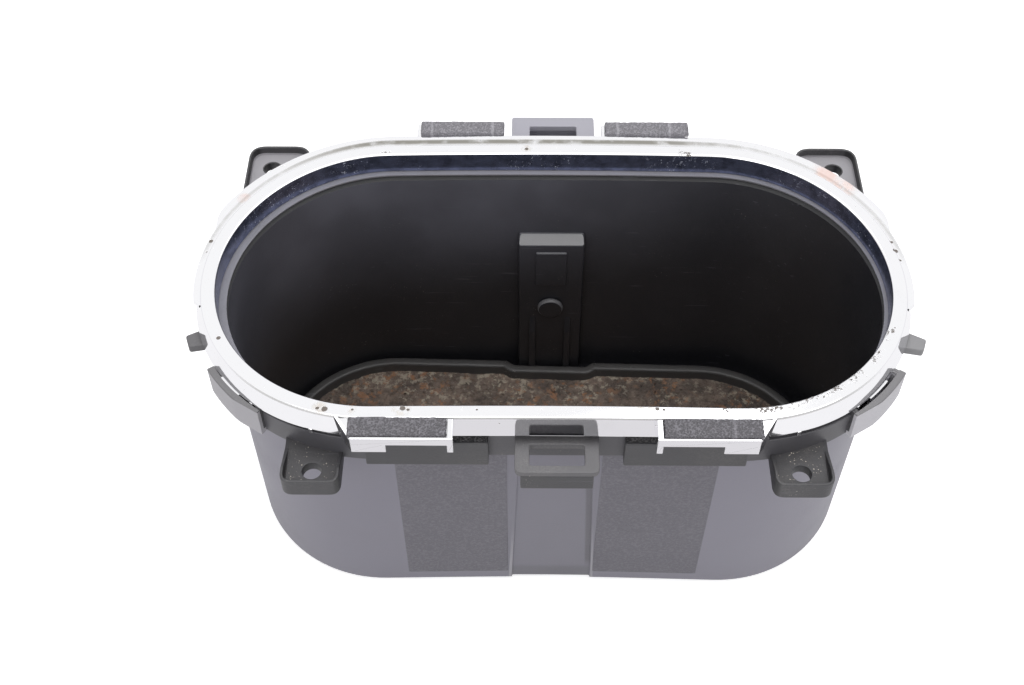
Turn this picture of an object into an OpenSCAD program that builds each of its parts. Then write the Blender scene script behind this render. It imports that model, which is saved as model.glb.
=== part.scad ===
// Twin cup holder insert for a centre console: a moulded bin with an arched
// plated trim ring, foam pads on the ring's brackets and a loose floor mat.
// Origin: centre of the flat base. X runs along the bin, -Y is the front, Z is up.

/* [Trim ring] */
// Length of the opening inside the ring
ring_inner_len = 188; // [150:1:230]
// Width of the opening inside the ring
ring_inner_w = 93.3; // [75:0.1:115]
// Height of the ring's top above the base, at mid length
ring_top = 98; // [70:1:130]
// Drop of the arched ring from mid length to its inner ends
ring_crown = 2.35; // [0.5:0.05:5]
// Width of the flat top band
ring_face_w = 4; // [2.5:0.1:6]
// How far the outer skirt flares out below the top band
ring_flare = 2.15; // [1:0.05:3]
// Height of the outer skirt
ring_skirt_h = 5.4; // [4:0.1:7]
// Depth of the inner lip
ring_lip_h = 6.8; // [5.6:0.1:9]
// Thickness of the plated moulding
ring_wall = 1.4; // [1:0.1:1.6]

/* [Bin] */
// Thickness of the side walls
wall = 1.9; // [1.6:0.1:3]
// Thickness of the floor
floor_t = 2.5; // [1.8:0.1:4]
// Width of the seat that the inner lip stands on
seat_w = 1.55; // [1:0.05:2.5]
// How much each long wall leans in from mouth to floor
side_taper = 4.4; // [2:0.1:9]
// How much each end wall leans in from mouth to floor
end_taper = 0.95; // [0:0.05:4]
// Height of the foot that the bin stands on
foot_h = 0.4; // [0.2:0.1:1]
// Inset of the foot from the bottom edge
foot_inset = 1.5; // [1:0.1:3]
// Depth of the collar below the ring's top
collar_bottom = 17.7; // [15:0.1:24]
// Width of the gap between the collar's rib and the ring's lip
rib_gap = 0.35; // [0.2:0.05:0.5]
// Thickness of the rib that stands inside the ring
rib_t = 1.2; // [0.8:0.1:1.3]

/* [Divider rails] */
// Width of each divider rail
rail_w = 20.8; // [14:0.1:30]
// How far a rail stands out from the wall
rail_t = 3.5; // [2:0.1:4.5]
// Depth of the rail's top below the ring's top
rail_drop = 31; // [20:1:45]
// Height of the slope at the rail's top
rail_bevel = 2.4; // [1:0.1:5]
// Width of the raised pad on a rail
rail_pad_w = 10.8; // [6:0.1:13]
// Length of the raised pad on a rail
rail_pad_h = 15; // [8:0.5:20]
// Diameter of the round stop on a rail
stop_d = 8.2; // [5:0.1:10]
// How far the round stop stands out
stop_t = 1.8; // [0.8:0.1:3]
// Width of each guide rib at a rail's foot
guide_w = 2.2; // [1.2:0.1:3]
// Distance between the two guide ribs, centre to centre
guide_pitch = 11.6; // [8:0.1:14]
// Depth of the shallow channel outside each rail
channel_t = 0.8; // [0.3:0.1:1.2]

/* [Screw ears] */
// Diameter of the screw holes
hole_d = 5; // [3:0.1:6]
// Distance of the front holes in from the collar's end
front_hole_in = 33.8; // [26:0.1:40]
// Distance of the front holes out from the collar's front
front_hole_out = 7; // [5.5:0.1:10]
// Distance of the rear holes in from the collar's end
rear_hole_in = 10.4; // [8:0.1:16]
// Distance of the rear holes out from the collar's back
rear_hole_out = 5.4; // [4:0.1:9]
// Width of a front ear
front_ear_w = 15.4; // [12:0.1:20]
// Width of a rear ear
rear_ear_w = 18.9; // [15:0.1:22]
// Reach of a front ear beyond its hole's centre
front_ear_edge = 5.6; // [4.6:0.1:8]
// Reach of a rear ear beyond its hole's centre
rear_ear_edge = 7; // [4.6:0.1:8]
// Width of a rear ear beyond its hole's centre, towards the end
rear_ear_side = 7.1; // [5:0.1:9]
// Depth of an ear's rim below the ring's top
ear_drop = 12; // [11:0.1:14]
// Height of an ear from its underside to the top of its rim
ear_h = 6.2; // [5:0.1:8]
// Height of the rim above the ear's tray
ear_rim_h = 3; // [1:0.1:3.5]
// Thickness of the rim round the ear's tray
ear_rim_t = 0.9; // [0.8:0.1:2]
// Radius of a front ear's corners
front_ear_round = 3; // [2:0.1:5]
// Radius of a rear ear's corners
rear_ear_round = 5; // [2:0.1:6]

/* [Catches] */
// Width of the front catch
front_catch_w = 21.8; // [16:0.1:28]
// Reach of the front catch from the collar
front_catch_out = 12; // [9:0.1:15]
// Depth of the front catch's top below the ring's top
front_catch_drop = 8; // [7.6:0.1:10]
// Width of the rear catch
rear_catch_w = 25.2; // [19:0.1:26]
// Reach of the rear catch from the collar
rear_catch_out = 16.1; // [14:0.1:20]
// Depth of the rear catch's top below the ring's top
rear_catch_drop = 3; // [2.8:0.1:5]
// Thickness of a catch
catch_t = 2.1; // [1.5:0.1:2.4]
// Width of the window in a catch
window_w = 14.2; // [10:0.1:15]
// Length of the window in the front catch
front_window = 6.4; // [4.5:0.1:6.8]
// Length of the window in the rear catch
rear_window = 4.9; // [4.4:0.1:6]
// Height of the front catch's hanging lip
catch_lip_h = 7.2; // [4:0.1:9]
// Height of the rear catch's back wall
rear_lip_h = 11; // [6:0.5:14]

/* [Guards and blocks] */
// Width of the pocket behind a guard
pocket_w = 3; // [2.6:0.1:4]
// Thickness of a guard
guard_t = 2; // [1.2:0.1:3]
// Depth of a guard's top edge below the ring's top
guard_drop = 7; // [6.4:0.1:9]
// Height of a guard
guard_h = 10; // [7:0.1:14]
// Reach of a side nub from the collar
nub_out = 6.8; // [4:0.1:9]
// Height of a side nub
nub_h = 2.8; // [2:0.1:5]
// Length of a ledge block
block_len = 32.4; // [20:0.1:34]
// Distance between the two ledge blocks
block_gap = 35.6; // [28:0.1:44]
// Reach of a ledge block from the collar
block_out = 2.2; // [1.5:0.1:3]
// Height of a ledge block
block_h = 9.8; // [6:0.1:12]
// Depth of a ledge block's top below the ring's top
block_drop = 9.4; // [9:0.1:11]

/* [Ring brackets] */
// Length of a foam pad and of the bracket under it
pad_len = 25.4; // [18:0.1:28]
// Width of a front foam pad
pad_w = 5.9; // [4:0.1:8]
// Thickness of a foam pad
pad_t = 1.5; // [1:0.1:3]
// Clear distance between the two front brackets
front_bracket_gap = 53.4; // [44:0.1:60]
// Clear distance between the two rear brackets
rear_bracket_gap = 30.4; // [28:0.1:50]
// Depth of a bracket's plate below the ring's top
plate_drop = 1.2; // [0.8:0.1:2]
// Thickness of a bracket's plate
plate_t = 2; // [1.2:0.1:2.4]
// Length of the legs below a bracket's plate
leg_h = 3.1; // [2:0.1:5]
// Width of the wide leg
leg_w = 9; // [5:0.1:12]
// Reach of the ledge round the ring's back
ledge_out = 4.7; // [3.5:0.1:5.5]

/* [Floor mat] */
// Play between the mat and the bin's wall
mat_gap = 3.3; // [1:0.1:4]
// Thickness of the mat
mat_t = 2.5; // [1.5:0.1:4]
// Height of the mat with its raised edge
mat_edge_h = 6; // [4.2:0.1:8]
// Width of the mat's raised edge
mat_edge_w = 2.6; // [1.2:0.1:4]
// Play between the mat's notches and the divider rails
notch_gap = 1.7; // [1.5:0.1:3]

/* [Hidden] */
$fn = 96;
eps = 0.02;
lap = 0.5;

// The ring's opening is a slot: two half circles of radius ring_r, 2 * ring_s apart
ring_r = ring_inner_w / 2;
ring_s = (ring_inner_len - ring_inner_w) / 2;
// Radius of the arch that the ring and the bin's rim follow
arch_r = pow(ring_inner_len / 2, 2) / (2 * ring_crown);
crease_r = ring_r + ring_face_w;
skirt_r = crease_r + ring_flare;
flare_rate = ring_flare / ring_skirt_h;

// Cavity of the bin, measured at its mouth and at the floor
seat_play = 0.2;
mouth_drop = ring_lip_h + seat_play;
mouth_z = ring_top - mouth_drop;
mouth_r = ring_r - seat_w;
floor_r = mouth_r - side_taper;
floor_s = ring_s + side_taper - end_taper;
cavity_h = mouth_z - floor_t;

// Collar and the rib that stands inside the ring's channel
rib_in = ring_r + ring_wall + rib_gap;
rib_out = rib_in + rib_t;
collar_step = 0.6;
collar_r = rib_out + collar_step;
collar_end = ring_s + collar_r;
collar_z = ring_top - collar_bottom;
rib_drop = ring_wall + 0.5;

// Screw holes
front_hole = [collar_end - front_hole_in, -collar_r - front_hole_out];
rear_hole = [collar_end - rear_hole_in, collar_r + rear_hole_out];

// Angles at the ends of the bin, in degrees from the X axis towards the front
guard_from = 33;
guard_to = 55;
guard_end_t = 1.6;
guard_floor = 1.5;
flat_at = guard_to + 2.7;
flat_in = 1.1;
band_from = guard_to - 1;
band_to = 88;
band_drop = 16.8;
dip_len = 8;
hook_from = 38.5;
hook_to = 47;
hook_h = 5.4;
hook_t = 0.8;
hook_bite = 0.2;
skirt_rib_at = [52, 72.5];
skirt_rib_w = 1;
skirt_rib_in = 0.2;
nub_at = 19.6;
nub_root_w = 6.8;
nub_tip_w = 4.2;
nub_drop = 8.6;

// Catches: width of the bars beyond the windows, and the rear catch's cheeks
front_bar = 2.4;
rear_bar = 4.2;
lip_inset = 1.5;
catch_play = 1.2;
cheek_t = 2;
cheek_foot = 5;

// Brackets and pads
bracket_reach = 7.2;
plate_reach = 5.4;
bracket_front = collar_r + bracket_reach;
bracket_rear = crease_r + ledge_out + plate_reach;
bracket_bite = 0.3;
plate_z = ring_top - plate_drop;
plate_lap = 1.2;
lip_t = 0.7;
lip_up = 0.9;
gusset_t = 1.2;
gusset_out = 4.6;
gusset_bite = 1;
side_t = 1.6;
pad_play = 0.1;
pad_over = 0.8;
pad_shift = 1;
ledge_t = 1.6;
ledge_in = 1;
ledge_wrap = 13;
ledge_drop = 0.5;
seal_w = 1.5;
seal_h = 2.6;

// Rail details
pad_stand = 0.6;
pad_below = 2.4;
stop_below = 1.2 * stop_d;
guide_t = 1.5;
guide_h = 26;
guide_lift = 0.5;
channel_side = 0.8;

// Mat
mat_r = floor_r - mat_gap;
mat_s = floor_s;
mat_turn = -2;
mat_z = floor_t + 0.05;
notch_slope = 2.7;

black = [0.09, 0.09, 0.10];
chrome = [0.86, 0.86, 0.88];
foam_grey = [0.36, 0.35, 0.37];
mat_brown = [0.33, 0.27, 0.22];

// Half width and end spacing of the cavity at a height
function cavity_r(z) = floor_r + side_taper * (z - floor_t) / cavity_h;
function cavity_s(z) = floor_s - (floor_s - ring_s) * (z - floor_t) / cavity_h;
// Drop of the arch at a distance from mid length
function arch(x) = arch_r - sqrt(arch_r * arch_r - x * x);

// Flat slot outline: two circles joined by a rectangle
module slot2d(s, r) {
    for (e = [-1, 1]) translate([e * s, 0]) circle(r);
    square([2 * s, 2 * r], center = true);
}

module slot(s, r, h) {
    linear_extrude(h) slot2d(s, r);
}

// Slot-shaped block whose sides follow the cavity's lean, grown outwards
module leaning_slot(z0, z1, grow) {
    hull() {
        translate([0, 0, z0]) slot(cavity_s(z0), cavity_r(z0) + grow, eps);
        translate([0, 0, z1 - eps]) slot(cavity_s(z1), cavity_r(z1) + grow, eps);
    }
}

// Everything below the arch at a depth under the ring's top
module under_arch(drop) {
    translate([0, 0, ring_top - drop - arch_r]) rotate([90, 0, 0])
        cylinder(r = arch_r, h = 4 * ring_inner_w, center = true, $fn = 720);
}

// Rectangle with rounded corners, centred
module round_rect(w, d, r) {
    square([w - 2 * r, d], center = true);
    square([w, d - 2 * r], center = true);
    for (i = [-1, 1], j = [-1, 1]) translate([i * (w / 2 - r), j * (d / 2 - r)]) circle(r, $fn = 40);
}

module at_both_ends() {
    children();
    mirror([1, 0, 0]) children();
}

module at_both_sides() {
    children();
    mirror([0, 1, 0]) children();
}

// Collar with the seat for the ring's lip and the rib inside the ring's channel
module collar() {
    intersection() {
        translate([0, 0, collar_z]) slot(ring_s, collar_r, ring_top - collar_z);
        under_arch(mouth_drop);
    }
    intersection() {
        difference() {
            translate([0, 0, collar_z + lap]) slot(ring_s, rib_out, ring_top - collar_z);
            translate([0, 0, collar_z]) slot(ring_s, rib_in, 2 * ring_top);
        }
        under_arch(rib_drop);
    }
}

// Thicker stretch of the collar from a guard past an ear to a ledge block
module collar_band() {
    low = ring_top - band_drop;
    intersection() {
        translate([0, 0, low]) linear_extrude(band_drop) intersection() {
            slot2d(ring_s, collar_r + block_out);
            translate([ring_s, 0]) wedge(band_from, band_to, 2 * collar_r);
        }
        under_arch(mouth_drop);
    }
}

// Rail that a divider slides on, against one long wall
module rail() {
    z1 = ring_top - rail_drop;
    z2 = z1 - rail_bevel;
    z0 = floor_t - lap;
    translate([rail_w / 2, 0, 0]) rotate([0, -90, 0]) linear_extrude(rail_w)
        polygon([[z0, -cavity_r(z0) - lap], [z0, -cavity_r(z0) + rail_t],
                 [z2, -cavity_r(z2) + rail_t], [z1, -cavity_r(z1)], [z1, -cavity_r(z1) - lap]]);
    // Raised pad
    p1 = z2 - pad_below;
    p0 = p1 - rail_pad_h;
    translate([rail_pad_w / 2, 0, 0]) rotate([0, -90, 0]) linear_extrude(rail_pad_w)
        polygon([[p0, -cavity_r(p0) + rail_t - lap], [p0, -cavity_r(p0) + rail_t + pad_stand],
                 [p1, -cavity_r(p1) + rail_t + pad_stand], [p1, -cavity_r(p1) + rail_t - lap]]);
    // Round stop
    stop_z = p0 - stop_below;
    translate([0, -cavity_r(stop_z) + rail_t + stop_t, stop_z]) rotate([90, 0, 0])
        cylinder(d = stop_d, h = stop_t + lap, $fn = 48);
    // Guide ribs that end just above the mat's raised edge
    g0 = floor_t + mat_edge_h + guide_lift;
    g1 = g0 + guide_h;
    for (i = [-1, 1]) translate([(i * guide_pitch + guide_w) / 2, 0, 0]) rotate([0, -90, 0])
        linear_extrude(guide_w)
            polygon([[g0, -cavity_r(g0) + rail_t - lap], [g0, -cavity_r(g0) + rail_t + guide_t],
                     [g1 - guide_t, -cavity_r(g1) + rail_t + guide_t],
                     [g1, -cavity_r(g1) + rail_t - lap]]);
}

// Shallow channel outside a rail, cut into the leaning wall
module channel_cut() {
    z1 = collar_z - lap;
    z0 = -1;
    w = rail_w + 2 * channel_side;
    translate([w / 2, 0, 0]) rotate([0, -90, 0]) linear_extrude(w)
        polygon([[z0, -cavity_r(z0) - wall + channel_t], [z1, -cavity_r(z1) - wall + channel_t],
                 [z1, -collar_r - 1], [z0, -collar_r - 1]]);
}

// Ear with a tray, a rim and a screw hole; it runs in until the collar cuts it
module ear(hole, cx, w, edge, corner) {
    z_rim = ring_top - ear_drop;
    z_low = z_rim - ear_h;
    z_tray = z_rim - ear_rim_h;
    side = sign(hole[1]);
    depth = abs(hole[1]) + edge;
    difference() {
        translate([cx, side * depth / 2, z_low]) linear_extrude(ear_h)
            round_rect(w, depth, corner);
        translate([cx, side * (depth / 2 - ear_rim_t), z_tray]) linear_extrude(ear_h)
            round_rect(w - 2 * ear_rim_t, depth, corner - ear_rim_t);
        translate([hole[0], hole[1], z_low - 1]) cylinder(d = hole_d, h = ear_h + 2);
        translate([0, 0, z_low - 1]) slot(ring_s, collar_r - lap, ear_h + 2);
    }
}

// Slope that takes a front ear's rim down to its tray beside the collar
module ear_dip() {
    z_rim = ring_top - ear_drop;
    z_tray = z_rim - ear_rim_h;
    y1 = -collar_r - dip_len;
    rotate([90, 0, 90]) linear_extrude(collar_end)
        polygon([[y1, z_rim], [-collar_r, z_tray], [0, z_tray], [0, z_rim + lap], [y1, z_rim + lap]]);
}

// Catch at the front: a frame with a window and a hanging lip
module front_catch() {
    z1 = ring_top - front_catch_drop;
    y0 = -collar_r;
    y1 = y0 - front_catch_out;
    window_y = y1 + front_bar;
    difference() {
        union() {
            translate([0, (y0 + lap + y1) / 2, z1 - catch_t]) linear_extrude(catch_t)
                square([front_catch_w, front_catch_out + lap], center = true);
            translate([0, y1 + catch_t / 2, z1 - catch_lip_h]) linear_extrude(catch_lip_h)
                square([front_catch_w - 2 * lip_inset, catch_t], center = true);
        }
        translate([0, window_y + front_window / 2, z1 - catch_t - 1]) linear_extrude(catch_t + 2)
            square([window_w, front_window], center = true);
    }
}

// Catch at the back: a framed window carried outside the ring on two cheeks
module rear_catch() {
    z1 = ring_top - rear_catch_drop;
    y0 = skirt_r + catch_play;
    y1 = collar_r + rear_catch_out;
    under = ring_top - mouth_drop - collar_step;
    difference() {
        translate([0, (y0 + y1) / 2, z1 - catch_t]) linear_extrude(catch_t)
            square([rear_catch_w, y1 - y0], center = true);
        translate([0, y1 - rear_bar - rear_window / 2, z1 - catch_t - 1]) linear_extrude(catch_t + 2)
            square([window_w, rear_window], center = true);
    }
    // Back wall
    translate([-rear_catch_w / 2, y1 - catch_t, z1 - rear_lip_h]) cube([rear_catch_w, catch_t, rear_lip_h]);
    for (e = [-1, 1]) translate([e * (rear_catch_w - cheek_t) / 2 + cheek_t / 2, 0, 0])
        rotate([0, -90, 0]) linear_extrude(cheek_t)
            polygon([[collar_z, collar_r - lap], [under, collar_r - lap], [under, y0],
                     [z1, y0], [z1, y1], [z1 - rear_lip_h, y1], [collar_z, collar_r + cheek_foot]]);
}

// Flat wedge with its point at an end centre, between two angles from the X axis
module wedge(a0, a1, r) {
    polygon([[0, 0], [r * cos(a0), -r * sin(a0)], [r * cos((a0 + a1) / 2), -r * sin((a0 + a1) / 2)],
             [r * cos(a1), -r * sin(a1)]]);
}

// Curved guard with a pocket behind it, flattened towards its front end
module guard() {
    r1 = collar_r + pocket_w;
    r2 = r1 + guard_t;
    z1 = ring_top - guard_drop;
    end_a = guard_end_t / r1 * 180 / PI;
    translate([ring_s, 0, z1 - guard_h]) difference() {
        linear_extrude(guard_h) intersection() {
            difference() {
                circle(r2);
                circle(collar_r - lap);
            }
            wedge(guard_from, guard_to, 2 * r2);
            rotate([0, 0, -flat_at]) translate([-r2, -r2]) square([2 * r2 - flat_in, 2 * r2]);
        }
        translate([0, 0, guard_floor]) linear_extrude(guard_h) intersection() {
            difference() {
                circle(r1);
                circle(collar_r);
            }
            wedge(guard_from + end_a, guard_to - end_a, 2 * r2);
        }
    }
}

// Small tapered nub at an end of the bin
module nub() {
    translate([ring_s, 0, ring_top - nub_drop - nub_h]) rotate([0, 0, -nub_at])
        linear_extrude(nub_h)
            polygon([[collar_r - lap, -nub_root_w / 2], [collar_r + nub_out, -nub_tip_w / 2],
                     [collar_r + nub_out, nub_tip_w / 2], [collar_r - lap, nub_root_w / 2]]);
}

// Ledge block on the front of the collar
module ledge_block() {
    z1 = ring_top - block_drop;
    difference() {
        translate([block_gap / 2, -collar_r - block_out, z1 - block_h])
            cube([block_len, collar_r + block_out, block_h]);
        translate([0, 0, z1 - block_h - 1]) slot(ring_s, collar_r - lap, block_h + 2);
    }
}

module bin() {
    color(black) difference() {
        union() {
            leaning_slot(foot_h, collar_z + 1, wall);
            slot(cavity_s(0), cavity_r(0) + wall - foot_inset, foot_h + 1);
            collar();
            at_both_ends() {
                difference() {
                    ear(front_hole, front_hole[0], front_ear_w, front_ear_edge, front_ear_round);
                    ear_dip();
                }
                ear(rear_hole, rear_hole[0] + rear_ear_side - rear_ear_w / 2, rear_ear_w,
                    rear_ear_edge, rear_ear_round);
                guard();
                collar_band();
                nub();
                ledge_block();
            }
            front_catch();
            rear_catch();
        }
        leaning_slot(floor_t, ring_top, 0);
        at_both_sides() channel_cut();
    }
    color(black) at_both_sides() rail();
}

// Slot-shaped block whose sides lean evenly from radius r0 up to radius r1
module tapered_slot(s, r0, r1, h) {
    for (e = [-1, 1]) translate([e * s, 0, 0]) cylinder(r1 = r0, r2 = r1, h = h);
    translate([-s, 0, 0]) rotate([90, 0, 90]) linear_extrude(2 * s)
        polygon([[-r0, 0], [r0, 0], [r1, h], [-r1, h]]);
}

// Arched ring: an inner lip, a top band and a flared outer skirt, one wall thick
module ring_body() {
    h = 2 * ring_lip_h;
    low = ring_top - h;
    // The skirt's lean is set at the middle of the arch's drop
    mid = ring_crown / 2;
    r_low = crease_r + flare_rate * (h - mid);
    r_top = crease_r - flare_rate * mid;
    lip_r = ring_r + ring_wall;
    difference() {
        intersection() {
            translate([0, 0, low]) tapered_slot(ring_s, r_low, r_top, h);
            under_arch(0);
        }
        // Opening
        translate([0, 0, low - 1]) slot(ring_s, ring_r, h + 2);
        // Channel between the lip and the skirt
        intersection() {
            translate([0, 0, low]) difference() {
                tapered_slot(ring_s, r_low - ring_wall, r_top - ring_wall, h);
                translate([0, 0, -1]) slot(ring_s, lip_r, h + 2);
            }
            under_arch(ring_wall);
        }
        // Space below the skirt and below the lip
        difference() {
            under_arch(ring_skirt_h);
            slot(ring_s, (lip_r + r_top) / 2, ring_top);
        }
        under_arch(ring_lip_h);
    }
}

// Hook that reaches down from the skirt into a guard's pocket
module hook() {
    r1 = skirt_r - hook_bite / 2;
    x = ring_s + r1 * cos((hook_from + hook_to) / 2);
    z1 = ring_top - arch(x) - ring_skirt_h + hook_bite;
    translate([ring_s, 0, z1 - hook_h]) linear_extrude(hook_h) intersection() {
        difference() {
            circle(r1);
            circle(r1 - hook_t);
        }
        wedge(hook_from, hook_to, 2 * r1);
    }
}

// Small rib under the skirt that keeps it off the collar
module skirt_rib(a) {
    r1 = skirt_r - skirt_rib_in;
    z1 = ring_top - arch(ring_s + r1 * cos(a)) - ring_skirt_h;
    h = mouth_drop - ring_skirt_h - pad_play;
    translate([ring_s, 0, z1 - h]) rotate([0, 0, -a])
        translate([r1 - skirt_rib_w, -skirt_rib_w / 2]) cube([skirt_rib_w, skirt_rib_w, h + skirt_rib_in]);
}

// Front bracket: a plate with a front lip, a wide leg, a side plate and a slanted gusset
module front_bracket() {
    x0 = front_bracket_gap / 2;
    x1 = x0 + pad_len;
    y1 = -bracket_front;
    leg_z = plate_z - plate_t - leg_h;
    difference() {
        union() {
            translate([0, 0, plate_z - plate_t]) linear_extrude(plate_t)
                polygon([[x0 - side_t / 2, 0], [x0 - side_t / 2, y1], [x1, y1],
                         [x1 + gusset_out, -crease_r], [x1 + gusset_out, 0]]);
            translate([x0 - side_t / 2, y1, plate_z - lap])
                cube([pad_len + side_t / 2, lip_t, lip_up + lap]);
            translate([x0 - side_t / 2, y1, leg_z]) cube([side_t, bracket_front, leg_h + plate_t + lip_up]);
            translate([x1 - leg_w, y1, leg_z]) cube([leg_w, ring_wall, leg_h + lap]);
            // Gusset, level with the plate at the front and rising to the ring
            run = [gusset_out, bracket_front - crease_r + gusset_bite];
            translate([x1, y1, 0]) rotate([0, 0, atan2(run[1], run[0])]) rotate([90, 0, 0])
                translate([0, 0, -gusset_t]) linear_extrude(gusset_t)
                    polygon([[0, leg_z], [norm(run), leg_z], [norm(run), plate_z + lip_up],
                             [norm(run) / 3, plate_z], [0, plate_z]]);
        }
        translate([0, 0, leg_z - 1]) slot(ring_s, crease_r + bracket_bite, ring_top);
    }
}

// Flat ledge round the ring's back, narrowing at the ends, where it wraps a little towards
// the front, with the two plates that carry the rear pads
module rear_ledge() {
    x0 = rear_bracket_gap / 2;
    y1 = crease_r + ledge_out;
    x1 = ring_s + crease_r - ledge_in;
    low = ring_top - ring_skirt_h;
    difference() {
        intersection() {
            translate([0, 0, low]) linear_extrude(2 * ring_skirt_h) intersection() {
                difference() {
                    slot2d(ring_s, y1);
                    slot2d(ring_s, crease_r - 2 * bracket_bite);
                }
                union() {
                    translate([-x1, 0]) square([2 * x1, y1]);
                    intersection() {
                        slot2d(ring_s, skirt_r);
                        translate([-2 * x1, -ledge_wrap]) square([4 * x1, 2 * ledge_wrap]);
                    }
                }
            }
            under_arch(ledge_drop);
        }
        under_arch(ledge_drop + ledge_t);
    }
    at_both_ends() translate([x0, y1 - plate_lap, plate_z - plate_t])
        cube([pad_len, bracket_rear - y1 + plate_lap, plate_t]);
}

module trim_ring() {
    color(chrome) {
        ring_body();
        at_both_ends() {
            hook();
            for (a = skirt_rib_at) skirt_rib(a);
            front_bracket();
        }
        rear_ledge();
    }
}

// Foam pads on the brackets' plates; the rear pair sits a little to the right of its plates
module foam_front() {
    color(foam_grey) translate([front_bracket_gap / 2 + side_t / 2 + pad_play,
                                -bracket_front + lip_t + pad_play, plate_z])
        cube([pad_len - side_t / 2 - pad_play + pad_over, pad_w, pad_t]);
}

module foam_rear(x0) {
    y0 = crease_r + ledge_out + pad_play;
    color(foam_grey) translate([x0 + pad_shift, y0, plate_z])
        cube([pad_len, bracket_rear - y0, pad_t]);
}

module foam_front_left() { mirror([1, 0, 0]) foam_front(); }
module foam_front_right() { foam_front(); }
module foam_rear_left() { foam_rear(-rear_bracket_gap / 2 - pad_len); }
module foam_rear_right() { foam_rear(rear_bracket_gap / 2); }

// Thin foam strip on a ledge block, under the ring's skirt
module seal() {
    z0 = ring_top - block_drop;
    color(black) translate([block_gap / 2, -collar_r - pad_play - seal_w, z0])
        cube([min(block_len, ring_s - block_gap / 2), seal_w, seal_h]);
}

module seal_left() { mirror([1, 0, 0]) seal(); }
module seal_right() { seal(); }

// Mat outline, pulled in by a distance, with a notch for each divider rail
module mat_outline(inset) {
    half = rail_w / 2 + notch_gap + inset;
    edge = floor_r - rail_t - notch_gap - inset;
    difference() {
        slot2d(mat_s, mat_r - inset);
        for (m = [0, 1]) mirror([0, m])
            polygon([[-half, edge], [half, edge], [half + notch_slope, mat_r - inset],
                     [half + notch_slope, mat_r + 1], [-half - notch_slope, mat_r + 1],
                     [-half - notch_slope, mat_r - inset]]);
    }
}

module floor_mat() {
    color(mat_brown) translate([0, 0, mat_z]) rotate([0, 0, mat_turn]) difference() {
        linear_extrude(mat_edge_h) mat_outline(0);
        translate([0, 0, mat_t]) linear_extrude(mat_edge_h) mat_outline(mat_edge_w);
    }
}

bin();
trim_ring();
foam_front_left();
foam_front_right();
foam_rear_left();
foam_rear_right();
seal_left();
seal_right();
floor_mat();
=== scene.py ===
"""Dresses a twin cup holder insert: moulded bin, plated trim ring, foam pads and a dirty floor mat.

Lengths in the classes are in millimetres. X runs along the bin, -Y is the front and Z is up from
the flat base, as in the solids that the pieces stand for.
"""
import logging
import math
from collections.abc import Callable
from dataclasses import dataclass, field
from enum import Enum

import bpy
import numpy as np
from mathutils import Matrix, Vector


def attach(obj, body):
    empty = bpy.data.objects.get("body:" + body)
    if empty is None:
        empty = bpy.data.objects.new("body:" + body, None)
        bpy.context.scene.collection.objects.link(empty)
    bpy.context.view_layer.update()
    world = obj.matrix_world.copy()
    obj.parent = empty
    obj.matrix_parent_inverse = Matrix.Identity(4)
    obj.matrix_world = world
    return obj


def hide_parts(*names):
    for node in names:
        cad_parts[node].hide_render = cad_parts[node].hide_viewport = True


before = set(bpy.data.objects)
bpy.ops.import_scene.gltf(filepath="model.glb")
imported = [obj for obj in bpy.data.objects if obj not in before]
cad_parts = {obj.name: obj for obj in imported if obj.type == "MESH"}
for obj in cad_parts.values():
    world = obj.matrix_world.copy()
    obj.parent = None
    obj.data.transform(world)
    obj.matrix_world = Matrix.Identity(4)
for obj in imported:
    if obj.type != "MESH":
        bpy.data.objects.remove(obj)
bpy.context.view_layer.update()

LOG = logging.getLogger("cup_holder")
MM = 0.001
Array = np.ndarray
Material = bpy.types.Material
Socket = bpy.types.NodeSocket
Value = float | Socket
Colour = tuple[float, float, float]
Change = Callable[[Array], Array]


class Side(Enum):
    """Sides of the insert, with the sign of Y on each."""

    FRONT = -1
    BACK = 1


class Skin(Enum):
    """Which finish a face of the bin takes."""

    OUTER = 0
    INNER = 1
    LEDGE = 2
    COLLAR = 3
    EDGE = 4


# Surfaces


def smooth(x: Array | float) -> Array:
    """Ease from 0 to 1: 3x^2 - 2x^3, with x held between 0 and 1."""
    x = np.clip(x, 0.0, 1.0)
    return x * x * (3 - 2 * x)


def window(x: Array, lo: float, hi: float, edge: float) -> Array:
    """1 between lo and hi, easing to 0 over edge on each side: the product of two eases."""
    return smooth((x - lo) / edge + 0.5) * smooth((hi - x) / edge + 0.5)


def bumps(x: Array, y: Array, z: Array, scale: float, seed: int, octaves: int = 3) -> Array:
    """Smooth random relief from -1 to 1.

    Each octave adds the product of two sines along random directions, at twice the frequency and
    half the height of the one before.

    Args:
        x, y, z: Places in millimetres, of one shape.
        scale: Wavelength of the widest octave.
        seed: Seed of the random directions.
        octaves: How many octaves.

    Returns:
        The relief at each place.
    """
    rng = np.random.default_rng(seed)
    total, height = np.zeros(np.broadcast(x, y, z).shape), 1.0
    for _ in range(octaves):
        for _ in range(3):
            d = rng.normal(size=(2, 3))
            d *= 2 * math.pi / scale / np.linalg.norm(d, axis=1)[:, None]
            p = rng.uniform(0, 6.28, 2)
            total = total + height / 3 * np.sin(d[0, 0] * x + d[0, 1] * y + d[0, 2] * z + p[0]) \
                * np.sin(d[1, 0] * x + d[1, 1] * y + d[1, 2] * z + p[1])
        scale, height = scale / 2, height / 2
    return total


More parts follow.
